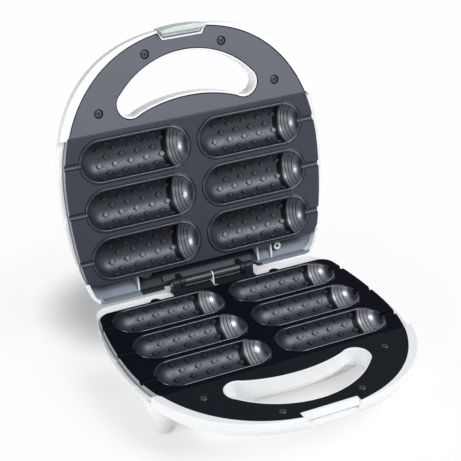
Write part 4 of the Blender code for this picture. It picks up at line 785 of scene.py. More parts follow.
# insets and depths of the outer wall: a quarter circle at the rim, then the handle's underside
def rimProfile(top):
    angle = np.linspace(0.0, math.pi / 2, handle["rimSteps"])
    edge = handle["rimEdge"]
    roundPart = np.stack([edge * (1 - np.sin(angle)), top + edge * (1 - np.cos(angle))], axis=1)
    lower = throughPoints([(0.0, top + edge)] + [(handle["rounding"] * inset, handle["depth"] * share)
                                                 for share, inset in handle["profile"]], handle["wallSteps"])
    return np.concatenate([roundPart, lower[1:]])


feet = {"topRadius": 0.0200, "bottomRadius": 0.0072, "flare": ((0.0148, 0.0260), (0.0110, 0.0360)),
        "fromSide": 0.0242, "rearFromSide": 0.0340, "frontY": -0.0260, "rearY": 0.0780, "edge": 0.0006,
        "topOver": 0.0004, "padRadius": 0.0052, "padThickness": 0.0017, "padRecess": 0.0010,
        "padEdge": 0.0004, "dimpleTop": 0.0030, "dimpleFloor": 0.0026,
        "points": 12}


# the places of the feet: two beside the handle's back end, two at the hinge
def footSpots():
    frontX, rearX = machine["halfWidth"] - feet["fromSide"], machine["halfWidth"] - feet["rearFromSide"]
    return [(side * x, y) for x, y in ((frontX, feet["frontY"]), (rearX, feet["rearY"])) for side in (-1, 1)]


# insets and depths of the bowl's wall, or of its inner side
def bowlLevels(half, inward=0.0):
    own = bowl[half]
    rise = own["depth"] - bowl["top"]
    curve = throughPoints([(own["inset"] * inset, bowl["top"] + rise * share)
                           for share, inset in own["shares"]], bowl["points"])
    return curve[:, 0] + inward, curve[:, 1] - inward


catch = {"halfTop": 0.0245, "halfBottom": 0.0190, "ledge": 0.0031, "ledgeY": 0.0018, "faceY": 0.0009,
         "height": 0.0120, "topY": 0.00924, "reachUnder": 0.0056, "undercutY": 0.0034, "fillY": 0.0022}
notch = {"lip": 0.0016, "depth": 0.0077, "top": 0.0146, "halfOuter": 0.0219, "halfInner": 0.0165,
         "pinFromFront": 0.0046, "pinDepth": 0.0090, "pinRadius": 0.0012, "pinHalf": 0.0239,
         "pinEdge": 0.0003, "pinFit": 0.0002, "pinHoleHalf": 0.0259}
over = 0.0040  # how far a cutter runs past a face


# a stack of four-sided sections: half widths back and front, their y, and the depth
def wedge(name, sections):
    rings = np.array([[(-front, frontEdge, depth), (front, frontEdge, depth), (back, backEdge, depth),
                       (-back, backEdge, depth)] for back, front, backEdge, frontEdge, depth in sections])
    return skin(name, rings)


hinge = {"x": 0.0030, "barrelRadius": 0.0036, "eyeRadius": 0.0042, "pinRadius": 0.0020, "bore": 0.0022,
         "barrelHalf": 0.0262, "webHalf": 0.0006, "gap": 0.0009, "armX": 0.0265, "armWidth": 0.0040,
         "knuckleX": 0.0308, "knuckleWidth": 0.0072, "leafHalf": 0.0425, "leafThickness": 0.0014,
         "plateHalf": 0.0386, "plateLow": 0.0047, "plateHigh": 0.0057, "plateFront": 0.0838,
         "plateRear": 0.0992, "plateCorner": 0.0018, "slotFront": 0.0912, "windowReach": 0.0070,
         "windowDepth": 0.0026, "padFront": 0.0056, "padRear": 0.0024, "webRadius": 0.0032, "webEdge": 0.0002,
         "edge": 0.0005, "pinEdge": 0.0006, "leafEdge": 0.0003, "leafBoreOver": 0.0015,
         "eyePoints": 25, "cornerPoints": 7}


# a half circle over the pin and a foot under it, as y and depth
def knuckleProfile(radius, sink):
    foot = hinge["plateLow"] - shell["slack"] + sink
    angle = np.linspace(0.0, math.pi, hinge["eyePoints"])
    eye = np.stack([machine["hingeY"] + radius * np.cos(angle),
                    -machine["hingeRise"] - radius * np.sin(angle)], axis=1)
    return np.concatenate([eye, [[machine["hingeY"] - hinge["padFront"], foot],
                                 [machine["hingeY"] + hinge["padRear"], foot]]])


# the inner side of the lid's rear wall on the middle line, as y and depth
def lidWallLine(count):
    own = bowl["lid"]
    points = [(rearY - shell["wall"] - shell["slack"], bowl["top"] - shell["slack"])]
    points += [(rearY - own["inset"] * inset - shell["wall"],
                bowl["top"] + (own["depth"] - bowl["top"]) * share - shell["wall"])
               for share, inset in own["shares"][1:count]]
    return np.array(points)


# the handle's outline and the bowl joined as one solid, then hollowed, pocketed and pierced
def makeCasing(half):
    name = half + "Casing"
    fit, slack = shell["fit"], shell["slack"]
    rim = rimProfile(shell["meet"])
    casing = stack(name, casingRing, rim[:, 0], rim[:, 1])
    insets, depths = bowlLevels(half)
    carve(casing, stack(name + "Bowl", bowlRing, insets, depths), "UNION")
    if half == "base":
        low = machine["baseHeight"] - feet["padRecess"]
        for number, (x, y) in enumerate(footSpots()):
            profile = throughPoints([(feet["topRadius"], bowl["top"]), *feet["flare"],
                                     (feet["bottomRadius"] + feet["topOver"], low - feet["edge"] * 2)],
                                    feet["points"])
            edge = [(feet["bottomRadius"], low - feet["edge"]), (feet["bottomRadius"] - feet["edge"], low)]
            outline = np.concatenate([[[0.0, bowl["top"]]], profile, edge, [[0.0, low]]])
            carve(casing, spun(f"{name}Foot{number}", outline, (x, y, 0.0)), "UNION")

    # the rim beside and behind the plate is lower than the handle
    step = block(name + "Step", (-machine["halfWidth"] - over, plate["frontY"] + shell["stepFrom"], -over),
                 (machine["halfWidth"] + over, rearY + over, shell["rimStep"] + handle["rimEdge"]))
    lowRim = rimProfile(shell["rimStep"])[:handle["rimSteps"]]
    lowRim = np.concatenate([lowRim, [[0.0, shell["rimStep"] + over]]])
    carve(step, stack(name + "LowRim", casingRing, lowRim[:, 0], lowRim[:, 1]))
    if half == "lid":
        ends = [machine["halfWidth"] + over * 2, shell["rearCornerX"]]
        for side, innerRib in ((-1, lidInside["ribs"][0]), (1, lidInside["ribs"][1])):
            spots = [side * ends[0], side * ends[1], innerRib, hinge["x"] + side * shell["rearFrom"]]
            for number in range(3):
                low, high = sorted(spots[number:number + 2])
                top = shell["rearRim"] - shell["rearStagger"] * number
                carve(step, block(f"{name}RearRim{side}{number}", (low, shell["rearY"], top),
                                  (high, rearY + over * 2, shell["rimStep"] + over)))
    carve(casing, step)
    # both pockets have mouths with a fine round
    mouth = [fit + more for more in shell["mouth"]]
    carve(casing, stack(name + "PlatePocket", plateRing, mouth,
                        (-over, *(shell["rimStep"] + more for more in shell["mouthDepths"]), shell["ledge"])))
    for side, spot in tabSpots():
        carve(casing, rodAt(f"{name}Tab{side}", plate["tabRadius"] + fit, -over, shell["ledge"], spot))
    seat = panel["face"] + panel["thickness"] + slack
    carve(casing, stack(name + "PanelPocket", lambda grow: panelRing(grow, plate["frontY"]), mouth,
                        (-over, *shell["mouthDepths"], seat)))
    # inner side of the bowl
    insets, depths = bowlLevels(half, shell["wall"])
    below = depths > shell["ledge"] + shell["ledgeClear"]
    carve(casing, stack(name + "Inside", bowlRing, np.append(shell["ledgeInset"], insets[below]),
                        np.append(shell["ledge"] - over / 2, depths[below])))
    # the casing comes up to the panel's face in the catch and round the latch's notch
    if half == "base":
        fill = (catch["halfTop"], catch["halfTop"], frontY + catch["topY"], frontY + catch["fillY"])
    else:
        grow = notch["lip"] - slack
        slope = (notch["halfOuter"] - notch["halfInner"]) / notch["depth"]
        fill = (notch["halfInner"] + grow, notch["halfOuter"] + grow - slope * catch["fillY"],
                frontY + notch["depth"] + grow, frontY + catch["fillY"])
    carve(casing, wedge(name + "Fill", [(*fill, panel["face"]), (*fill, seat + slack)]), "UNION")
    # a white lip stands round the opening, flush with the panel
    carve(casing, stack(name + "Lip", openingRing, (-fit / 2 - slack, -fit / 2, -fit / 2),
                        (panel["face"], panel["face"] + slack, seat + slack)), "UNION")
    # the opening has a round edge above and flares out below by a quarter ellipse
    angle = np.linspace(0.0, math.pi / 2, handle["flarePoints"])
    flareTop = handle["depth"] * handle["flareShare"]
    flareInsets = handle["flare"] * (1 - np.cos(angle))
    flareDepths = flareTop + (handle["depth"] - flareTop) * np.sin(angle)
    edgeInsets, edgeFalls = zip(*handle["openingEdge"])
    grow = [-handle["lip"] + inset for inset in (edgeInsets[0], *edgeInsets)]
    level = [-over, *(panel["face"] + fall for fall in edgeFalls)]
    grow += list(-handle["lip"] + flareInsets) + [-handle["lip"] + handle["flare"] + handle["flareOver"]]
    level += list(flareDepths) + [handle["depth"] + over]
    carve(casing, stack(name + "Opening", openingRing, grow, level))
    for number, (x, y) in enumerate(screwSpots()):
        carve(casing, rodAt(f"{name}Hole{number}", screw["hole"], -over, screw["holeLow"], (x, y, 0.0),
                            steps=meshing["tinySteps"]))
    if half == "base":
        cutBase(casing, name)
    else:
        cutLid(casing, name)
    settled(casing)
    paint(casing, [finishes[look] for look in ("whitePlastic", "gap", "paintedHollowShade", "paintedDeepShade")],
          lambda centres, normals: casingMarks(half, centres, normals))
    finishPiece(half + "_casing_shell", [casing], half, half, finishes["whitePlastic"], [half + "_casing"])


seam = {"fromRim": 0.0012, "high": 0.0013, "low": 0.0032, "byLatch": 0.0030, "fromRear": 0.0019,
        "rearBand": 0.0030, "rearCornerIn": 0.0060, "ribClear": 0.0009,
        "sideFacing": 0.05, "upFacing": 0.1}


# painted shade: dark in the seam round the panel, blue-grey inside behind the lid's plate and darker still
# between its ribs; the outer wall stays white
def casingMarks(half, centres, normals):
    x, y, depth = np.abs(centres[:, 0]), centres[:, 1], centres[:, 2]
    reachX, reachY = machine["halfWidth"] - seam["fromRim"], machine["frontReach"] - seam["fromRim"]
    ahead = np.maximum(machine["widestY"] - y, 0.0) / reachY
    inside = (x / reachX) ** machine["roundness"] + ahead ** machine["roundness"] < 1.0
    marks = np.zeros(len(centres))
    byLatch = (x < notch["halfOuter"] + seam["byLatch"]) & (y < frontY + notch["depth"] + seam["byLatch"])
    inSeam = (depth > seam["high"]) & (depth < seam["low"]) & (y < plate["frontY"] + seam["fromRim"])
    # the seam's walls get painted shade, except by the latch
    marks[inside & inSeam & ~byLatch] = 1
    if half == "lid":
        bend = np.sqrt(1 - ((y - machine["widestY"]) / machine["sideRadius"]) ** 2)
        sideX = machine["halfWidth"] - machine["sideRadius"] * (1 - bend)
        # blue-grey painted shade on the inside behind the plate and on the rear rim; faces turned up or
        # outwards stay white
        below = depth > shell["rimStep"] + seam["fromRim"]
        behind = (y > plate["rearY"] - seam["rearBand"]) & (y < rearY - seam["fromRear"])
        marks[behind & (x < sideX - seam["fromRear"]) & below] = 2
        above = depth < shell["rimStep"] + seam["fromRim"]
        marks[(y > rearY - seam["rearBand"]) & above & (x < sideX - seam["rearCornerIn"])] = 2
        sideways = normals[:, 0] * np.sign(centres[:, 0])
        outer = ((normals[:, 1] > seam["sideFacing"])
                 | ((x > shell["rearCornerX"] - seam["rearCornerIn"]) & (sideways > seam["sideFacing"])))
        marks[(normals[:, 2] > seam["upFacing"]) | (outer & (y > rearY - machine["rearCorner"]))] = 0
        # darker painted shade between the ribs
        low, high = lidInside["ribs"][0] + seam["ribClear"], lidInside["ribs"][1] - seam["ribClear"]
        marks[(marks == 2) & (centres[:, 0] > low) & (centres[:, 0] < high)] = 3
    return marks


cord = {"depth": 0.0285, "hole": 0.0065, "holeHalf": 0.017, "bore": 0.0034, "outer": 0.0062, "length": 0.0190,
        "fromRear": 0.0320, "edge": 0.0004, "tailLength": 0.0012, "tailIn": 0.0010, "tailEdge": 0.0006}


# the web on the hinge line, the latch's catch, recesses for the foot pads and the cord's hole
def cutBase(casing, name):
    x, half = hinge["x"], hinge["webHalf"]
    web = pushed(name + "Web", knuckleProfile(hinge["webRadius"], over), x - half, x + half, hinge["webEdge"])
    carve(casing, web, "UNION")
    carve(casing, rodAt(name + "WebBore", hinge["bore"], x - over, x + over,
                        (0.0, machine["hingeY"], -machine["hingeRise"]), "x"))
    middle = (catch["halfTop"] + catch["halfBottom"]) / 2
    outY = frontY - over
    carve(casing, wedge(name + "Ramp", [(catch["halfTop"], catch["halfTop"], frontY + catch["topY"], outY,
                                         -shell["slack"]),
                                        (middle, middle, frontY + catch["ledgeY"], outY, catch["ledge"]),
                                        (catch["halfBottom"], catch["halfBottom"], frontY + catch["faceY"],
                                         outY, catch["height"])]))
    carve(casing, block(name + "Undercut", (-middle, outY, catch["ledge"]),
                        (middle, frontY + catch["undercutY"], catch["reachUnder"])))
    for number, (x, y) in enumerate(footSpots()):
        carve(casing, rodAt(f"{name}Pad{number}", feet["padRadius"] + shell["slack"],
                            machine["baseHeight"] - feet["padRecess"] * 1.5, machine["baseHeight"] + over,
                            (x, y, 0.0), steps=meshing["wideSteps"]))
    carve(casing, rodAt(name + "CordHole", cord["hole"], -cord["holeHalf"], cord["holeHalf"],
                        (0.0, rearY - cord["holeHalf"], cord["depth"]), "y", meshing["wideSteps"]))


lidInside = {"ribs": (-0.0620, 0.0515, 0.0645), "ribThickness": 0.0016, "ribY": 0.0850, "ribTop": 0.0072,
             "boss": (0.0710, 0.0882), "bossRadius": 0.0033, "bossHole": 0.0014, "bossHoleDepth": 0.008,
             "hollowFrom": 0.003, "hollowShare": 0.62}
indicator = {"radius": 0.0040, "x": 0.0120, "y": -0.0060, "stand": 0.0008, "flange": 0.0033,
             "lampRadius": 0.0030, "lampLength": 0.0120, "lampEdge": 0.0012,
             "domePoints": 9}


# the open hollow behind the plate with its ribs and boss, the latch's notch, and holes for the lights
def cutLid(casing, name):
    deepest = bowl["lid"]["depth"]
    slack = shell["slack"]
    insets, depths = bowlLevels("lid")
    kept = ((depths > bowl["top"] + lidInside["hollowFrom"])
            & (depths < bowl["top"] + (deepest - bowl["top"]) * lidInside["hollowShare"]))
    insets = np.append([shell["wall"], shell["wall"] + slack], insets[kept] + shell["wall"])
    depths = np.append([-over, bowl["top"] - slack], depths[kept] - shell["wall"])
    hollow = stack(name + "RearHollow", casingRing, insets, depths)
    carve(hollow, block(name + "RearKeep", (-machine["halfWidth"] - over, frontY - over, -over * 2),
                        (machine["halfWidth"] + over, plate["rearY"] - shell["wall"], deepest)))
    carve(casing, hollow)
    wall = lidWallLine(3)
    profile = np.concatenate([[[lidInside["ribY"], lidInside["ribTop"]],
                               [wall[0, 0] + shell["wall"] / 2, lidInside["ribTop"]]],
                              wall + (shell["wall"] / 2, 0.0)])
    half = lidInside["ribThickness"] / 2
    for number, x in enumerate(lidInside["ribs"]):
        carve(casing, pushed(f"{name}Rib{number}", profile, x - half, x + half), "UNION")
    x, y = lidInside["boss"]
    carve(casing, rodAt(name + "Boss", lidInside["bossRadius"], lidInside["ribTop"], wall[2, 1], (x, y, 0.0),
                        steps=meshing["bossSteps"]), "UNION")
    carve(casing, rodAt(name + "BossHole", lidInside["bossHole"], 0.0,
                        lidInside["ribTop"] + lidInside["bossHoleDepth"], (x, y, 0.0),
                        steps=meshing["smallSteps"]))
    inner, outer = notch["halfInner"] + shell["fit"], notch["halfOuter"] + shell["fit"]
    spread = (outer - inner) * over / notch["depth"]
    carve(casing, wedge(name + "Notch", [(inner, outer + spread, frontY + notch["depth"], frontY - over,
                                          depth) for depth in (-over, notch["top"])]))
    carve(casing, rodAt(name + "PinHole", notch["pinRadius"] + notch["pinFit"], -notch["pinHoleHalf"],
                        notch["pinHoleHalf"], (0.0, frontY + notch["pinFromFront"], notch["pinDepth"]), "x",
                        meshing["tinySteps"]))
    for side in (-1, 1):
        carve(casing, rodAt(f"{name}Lens{side}", indicator["radius"] + slack, deepest - indicator["flange"],
                            deepest + over, (side * indicator["x"], indicator["y"], 0.0),
                            steps=meshing["wideSteps"]))


# panels and screws

# a flat cover with a small bevel on its outline and opening, sunk screw holes and a notch at the latch
def makePanel(half):
    name = half + "Panel"
    edge, inner = panel["edge"], panel["openingFit"]
    first = edge * panel["edgeShare"]
    face, back = panel["face"], panel["face"] + panel["thickness"]
    cover = stack(name, lambda grow: panelRing(grow, plate["frontY"] - shell["fit"]),
                  (-edge, -first, 0.0, 0.0), (face, face + first, face + edge, back))
    carve(cover, stack(name + "Opening", openingRing,
                       (inner + edge, inner + edge, inner + first, inner, inner),
                       (-over, face, face + first, face + edge, back + over)))
    for number, (x, y) in enumerate(screwSpots()):
        profile = [(0.0, -over), (panel["screwSink"], -over), (panel["screwSink"], face),
                   (panel["sinkFoot"], face + panel["sinkDepth"]),
                   (panel["screwHole"], face + panel["sinkFloor"]), (panel["screwHole"], back + over),
                   (0.0, back + over)]
        carve(cover, spun(f"{name}Hole{number}", profile, (x, y, 0.0), steps=meshing["wideSteps"]))
    if half == "base":
        halfWidth = catch["halfTop"] + shell["slack"]
        section = (halfWidth, halfWidth, frontY + catch["topY"] + shell["slack"], frontY - over)
    else:
        spread = (notch["halfOuter"] - notch["halfInner"]) * over / notch["depth"]
        margin = notch["lip"]
        section = (notch["halfInner"] + margin, notch["halfOuter"] + margin + spread,
                   frontY + notch["depth"] + margin, frontY - over)
    carve(cover, wedge(name + "Notch", [(*section, -over), (*section, over)]))
    settled(cover)
    finish = finishes["blackPanel" if half == "base" else "greyPanel"]
    # the cover's edges get painted seam shade
    paint(cover, [finish, finishes["gap"]],
          lambda centres, normals: ((np.abs(normals[:, 2]) < panel["flatFrom"])
                                    & (centres[:, 2] > face + edge * panel["paintedShadeFrom"])))
    finishPiece(half + "_panel_cover", [cover], half, half, finish, [half + "_handle_panel"])


screw = {"headRadius": 0.0030, "top": 0.0009, "headLow": 0.0025, "shank": 0.0013, "length": 0.0095,
         "slotLength": 0.0019, "slotWidth": 0.00042, "slotDepth": 0.0010, "slotSlope": 0.00022,
         "slotEnd": 0.0005, "crown": 0.0003, "crownSteps": 22, "edge": 0.0006, "steps": 72, "firstTurn": 0.35,
         "nextTurn": 0.7, "hole": 0.0016, "holeLow": 0.0115}


# head and shank as one spun profile; a cross is pressed into the head's top
def makeScrews(half):
    top, low = screw["top"], screw["headLow"]
    radii = np.linspace(0.0, screw["headRadius"] - screw["crown"], screw["crownSteps"])
    crown = np.stack([radii, top + screw["crown"] * (radii / radii[-1]) ** 2], axis=1)
    rest = [(screw["headRadius"], top + screw["edge"]), (screw["headRadius"], low), (screw["shank"], low),
            (screw["shank"], top + screw["length"] - screw["shank"]), (0.0, top + screw["length"])]
    profile = np.concatenate([crown, rest])
    angle = np.arange(screw["steps"]) / screw["steps"] * 2 * math.pi + screw["firstTurn"]
    for number, (x, y) in enumerate(screwSpots()):
        turn = angle[0] + number * screw["nextTurn"]
        across = profile[:, 0, None] * np.cos(angle)[None, :]
        along = profile[:, 0, None] * np.sin(angle)[None, :]
        near = np.minimum(np.abs(across), np.abs(along))
        far = np.maximum(np.abs(across), np.abs(along))
        press = (np.clip((screw["slotWidth"] - near) / screw["slotSlope"], 0.0, 1.0)
                 * np.clip((screw["slotLength"] - far) / screw["slotEnd"], 0.0, 1.0))
        press[screw["crownSteps"]:] = 0.0
        depth = profile[:, 1, None] + press * screw["slotDepth"]
        cosTurn, sinTurn = math.cos(turn), math.sin(turn)
        rings = np.stack([x + across * cosTurn - along * sinTurn, y + across * sinTurn + along * cosTurn,
                          depth], axis=2)
        thing = skin(f"{half}Screw{number}", rings, caps=False)
        finishPiece(f"{half}_screw_{number + 1}", [thing], half, half, finishes["darkScrew"],
                    [f"{half}_panel_screw_{number + 1}"], weighted=False)


# cooking plates

cavity = {"x": 0.05275, "firstY": -0.0208, "pitch": 0.0414, "straight": 0.03075, "radius": 0.0165,
          "depth": 0.0135, "top": 0.0014, "grooveRadius": 0.0028, "grooveWall": 0.0044, "outerX": 0.1000,
          "bulgeTop": 0.0018, "bulgeFrom": 0.0016, "levels": 20, "steps": 24, "straightSteps": 12,
          "ringSteps": 28, "bulgeLevels": 10, "bulgeSteps": 14, "channelPoints": 13}
bump = {"pitch": 0.0140, "rows": 7, "halfDiagonal": 0.0026, "height": 0.0009, "sink": 0.0010, "corner": 1.06,
        "foot": 1.32, "fromEnd": 0.0005, "around": 16,
        "columns": (-2, 2.1), "rise": 0.00006, "shoulder": (1.04, 0.00010), "paintedShadeFrom": 0.8,
        "crown": ((0.96, 0.85), (0.88, 1.0), (0.0, 1.02))}
# offset past the straight part, half width and height of each rib near a cavity's right end
# the first, wide and flat, is a band of painted shadow; the thin ones are ribs painted in shade
rib = {"sizes": ((0.0002, 0.0027, 0.0003), (0.0056, 0.00026, 0.00026), (0.0082, 0.00026, 0.00026),
                 (0.0108, 0.00026, 0.00026)), "pathSteps": 33, "ovalSteps": 10, "pastEnd": 0.02}


# side and middle of each cavity
def cavitySpots():
    return [(side, side * cavity["x"], cavity["firstY"] + row * cavity["pitch"]) for row in range(3)
            for side in (-1, 1)]


# a half-round trough: slot outlines that shrink as a quarter ellipse down to a line
def trough(name, x, y, radius, depth, top, first, flare=0.0, levels=cavity["levels"],
           steps=cavity["steps"]):
    angle = np.linspace(0.0, math.pi / 2, levels + 1)
    radii = radius * np.maximum(np.cos(angle), 0.0)
    depths = top + depth * np.sin(angle)
    if flare > 0.0:
        insets, levelsIn = roundEdge(flare, plate["lipTop"])
        radii = np.concatenate([[radius + flare], radius + insets, radii[1:]])
        depths = np.concatenate([[first], levelsIn, depths[1:]])
    else:
        radii = np.concatenate([[radius], radii])
        depths = np.concatenate([[first], depths])
    rings = ringsAt([slotRing(x, y, cavity["straight"], reach, steps, cavity["straightSteps"])
                     for reach in radii], depths)
    levels, count = rings.shape[:2]
    faces = gridFaces(levels, count).tolist()
    faces.append(list(range(count)))
    return meshObject(name, rings.reshape(-1, 3), faces)


# square studs turned 45 degrees, set out in staggered rows round the trough's section:
# a point is centre + along X + along the arc + out of the wall
def studs(name, half, x, y):
    arc = (np.arange(bump["rows"]) + 0.5) / bump["rows"] * math.pi
    first, last = bump["columns"]
    rows = [np.arange(first + 0.5 * (row % 2), last) * bump["pitch"] for row in range(bump["rows"])]
    spots = np.concatenate([np.stack([row, np.full(len(row), turn)], axis=1) for row, turn in zip(rows, arc)])
    spots = spots[np.abs(spots[:, 0]) < cavity["straight"] - bump["fromEnd"]]
    radius, depth = cavity["radius"], cavity["depth"]
    sine, cosine = np.sin(spots[:, 1]), np.cos(spots[:, 1])
    centre = np.stack([x + spots[:, 0], y + radius * cosine, cavity["top"] + depth * sine], axis=1)
    tangent = np.stack([np.zeros(len(spots)), -radius * sine, depth * cosine], axis=1)
    tangent /= np.linalg.norm(tangent, axis=1, keepdims=True)
    outward = np.stack([np.zeros(len(spots)), -depth * cosine, -radius * sine], axis=1)
    outward /= np.linalg.norm(outward, axis=1, keepdims=True)
    steps = bump["around"]
    around = np.arange(steps) / steps * 2 * math.pi
    # a rounded diamond: |u| + |v| softened at its corners
    power = bump["corner"]
    reach = 1.0 / (np.abs(np.cos(around)) ** power + np.abs(np.sin(around)) ** power) ** (1 / power)
    levels = [(bump["foot"], -bump["sink"]), (bump["foot"], bump["rise"]), bump["shoulder"],
              *((scale, bump["height"] * share) for scale, share in bump["crown"])]
    template = np.array([[scale * reach * np.cos(around), scale * reach * np.sin(around),
                          np.full(steps, lift / bump["halfDiagonal"])]
                         for scale, lift in levels]).transpose(0, 2, 1) * bump["halfDiagonal"]
    across = np.array([1.0, 0.0, 0.0])
    u, v, lift = (template[None, :, :, part:part + 1] for part in range(3))
    points = (centre[:, None, None, :] + u * across + v * tangent[:, None, None, :]
              + lift * outward[:, None, None, :])
    count = len(levels) * steps
    quads = gridFaces(len(levels), steps)
    faces = (quads[None] + (np.arange(len(spots)) * count)[:, None, None]).reshape(-1, 4).tolist()
    faces += [list(range(start, start + steps)) for start in range(0, len(spots) * count, count)]
    thing = meshObject(name, points.reshape(-1, 3), faces)
    # the studs' sides and foot rings get painted shade, their tops the stud finish
    low = 1 - bump["height"] * bump["paintedShadeFrom"] / radius
    return paint(thing, [finishes[half + "Stud"], finishes["paintedCavityShade"]],
                 lambda centres, normals: np.hypot((centres[:, 1] - y) / radius,
                                                   (centres[:, 2] - cavity["top"]) / depth) > low)


# ribs across the trough near its right end, painted in shade: a flat oval section carried along a half
# ellipse
def ringRibs(name, x, y):
    pathSteps, ovalSteps = rib["pathSteps"], rib["ovalSteps"]
    sweep = np.linspace(-rib["pastEnd"], math.pi + rib["pastEnd"], pathSteps)
    oval = np.arange(ovalSteps) / ovalSteps * 2 * math.pi
    parts = []
    for offset, halfWidth, height in rib["sizes"]:
        share = math.sqrt(1 - (max(offset, 0.0) / cavity["radius"]) ** 2)
        wide, deep = cavity["radius"] * share, cavity["depth"] * share
        path = np.stack([np.full(pathSteps, x + cavity["straight"] + offset), y + wide * np.cos(sweep),
                         cavity["top"] + deep * np.sin(sweep)], axis=1)
        normal = np.stack([np.zeros(pathSteps), deep * np.cos(sweep), wide * np.sin(sweep)], axis=1)
        normal /= np.linalg.norm(normal, axis=1, keepdims=True)
        parts.append(path[:, None, :] + height * np.cos(oval)[None, :, None] * normal[:, None, :]
                     + halfWidth * np.sin(oval)[None, :, None] * np.array([1.0, 0.0, 0.0]))
    points = np.concatenate([part.reshape(-1, 3) for part in parts])
    quads = gridFaces(pathSteps, ovalSteps)
    size = pathSteps * ovalSteps
    faces = (quads[None] + (np.arange(len(parts)) * size)[:, None, None]).reshape(-1, 4).tolist()
    for start in range(0, len(parts) * size, size):
        faces.append(list(range(start, start + ovalSteps)))
        faces.append(list(range(start + size - ovalSteps, start + size)))
    thing = meshObject(name, points, faces)
    thing.data.materials.append(finishes["paintedCavityShade"])
    return thing


# half width of the plate at each y: its superellipse in front of the widest place, its large arc behind
def plateSideX(y):
    halfWidth = machine["halfWidth"] - plate["rim"]
    share = np.maximum(machine["widestY"] - y, 0.0) / (machine["frontReach"] - panel["rimFront"])
    front = halfWidth * (1 - share ** panel["roundness"]) ** (1 / panel["roundness"])
    rear = halfWidth - plate["sideRadius"] + np.sqrt(plate["sideRadius"] ** 2 - (y - machine["widestY"]) ** 2)
    return np.where(y < machine["widestY"], front, rear)


markEdge = {"cavity": 0.00005, "border": 0.0011, "face": 0.00002,
            "level": 0.999, "upright": 0.7}


# land, then lips and cavities, then the bare side wall
def plateMarks(centres, normals):
    x, y, depth = centres[:, 0], centres[:, 1], centres[:, 2]
    marks = np.zeros(len(centres))
    for _, middleX, middleY in cavitySpots():
        away = np.hypot(y - middleY, np.maximum(np.abs(x - middleX) - cavity["straight"], 0.0))
        marks[away < cavity["radius"] + plate["lipWidth"] + markEdge["cavity"]] = 3
        marks[away < cavity["radius"] + markEdge["cavity"]] = 1
    border = ((np.abs(x) > plateSideX(y) - markEdge["border"]) | (y > plate["rearY"] - markEdge["border"])
              | (y < plate["frontY"] + markEdge["border"]))
    marks[(np.abs(depth - plate["face"]) < markEdge["face"])
          & (np.abs(normals[:, 2]) > markEdge["level"])] = 0
    marks[border & (depth > plate["face"] + plate["edge"] * 0.5)
          & (np.abs(normals[:, 2]) < markEdge["upright"])] = 2
    return marks


# an open tray with tabs; each cavity adds a lip, a bulge and a channel, then its trough and groove are cut
def makePlate(half):
    name = half + "Plate"
    insets, depths = roundEdge(plate["edge"], plate["face"])
    slab = stack(name, plateRing, np.append(-insets, 0.0), np.append(depths, plate["skirt"]))
    low = plate["skirt"] - plate["tabRise"]
    for side, centre in tabSpots():
        profile = np.concatenate([[[0.0, plate["face"]]],
                                  np.stack([plate["tabRadius"] - insets, depths], axis=1),
                                  [[plate["tabRadius"], low], [0.0, low]]])
        carve(slab, spun(f"{name}Tab{side}", profile, centre), "UNION")
    carve(slab, stack(name + "Under", plateRing, (-plate["wall"], -plate["wall"]),
                      (plate["face"] + plate["wall"], plate["skirt"] + over)))
    straight, radius = cavity["straight"], cavity["radius"]
    insets, depths = roundEdge(plate["lipEdge"], plate["lipTop"])
    for number, (side, x, y) in enumerate(cavitySpots()):
        outer = radius + plate["lipWidth"]
        # a fine groove round the lip
        carve(slab, stack(f"{name}Moat{number}", lambda grow: slotRing(x, y, straight, outer + grow,
                                                                       cavity["ringSteps"]),
                          (plate["moatWidth"], plate["moatWidth"]),
                          (-over, plate["face"] + plate["moatDepth"])))
        carve(slab, stack(f"{name}Lip{number}", lambda grow: slotRing(x, y, straight, outer + grow,
                                                                      cavity["ringSteps"]),
                          np.append(-insets, 0.0), np.append(depths, plate["face"] + plate["lipRoot"])),
              "UNION")
        carve(slab, trough(f"{name}Bulge{number}", x, y, radius + plate["wall"],
                           cavity["depth"] + plate["wall"], plate["face"] + cavity["bulgeTop"],
                           plate["face"] + cavity["bulgeFrom"], levels=cavity["bulgeLevels"],
                           steps=cavity["bulgeSteps"]), "UNION")
        angle = np.linspace(0.0, math.pi, cavity["channelPoints"])
        channel = np.stack([y + cavity["grooveWall"] * np.cos(angle),
                            plate["face"] + plate["lipRoot"] + cavity["grooveWall"] * np.sin(angle)], axis=1)
        low, high = sorted((side * (cavity["outerX"] - plate["wall"]),
                            side * (float(plateSideX(y)) - plate["wall"] / 2)))
        carve(slab, pushed(f"{name}Channel{number}", channel, low, high), "UNION")
    for number, (side, x, y) in enumerate(cavitySpots()):
        carve(slab, trough(f"{name}Cavity{number}", x, y, radius, cavity["depth"], cavity["top"], -over,
                           flare=plate["lipEdge"]))
        start, end = x + side * (straight + radius / 2), side * (machine["halfWidth"] + over)
        carve(slab, rodAt(f"{name}Groove{number}", cavity["grooveRadius"], min(start, end), max(start, end),
                          (0.0, y, plate["face"]), "x"))
    settled(slab)
    finish = finishes[half + "Plate"]
    parts = [paint(slab, [finish, finishes[half + "Cavity"], finishes["plateSide"], finishes[half + "Lip"]],
                   plateMarks)]
    for number, (_, x, y) in enumerate(cavitySpots()):
        parts.append(studs(f"{name}Studs{number}", half, x, y))
        parts.append(ringRibs(f"{name}Ribs{number}", x, y))
    finishPiece(half + "_plate_cast", parts, half, half, finish, [half + "_cooking_plate"])


for halfName in ("base", "lid"):
    makeCasing(halfName)
    makePanel(halfName)
    makeScrews(halfName)
    makePlate(halfName)

# hinge

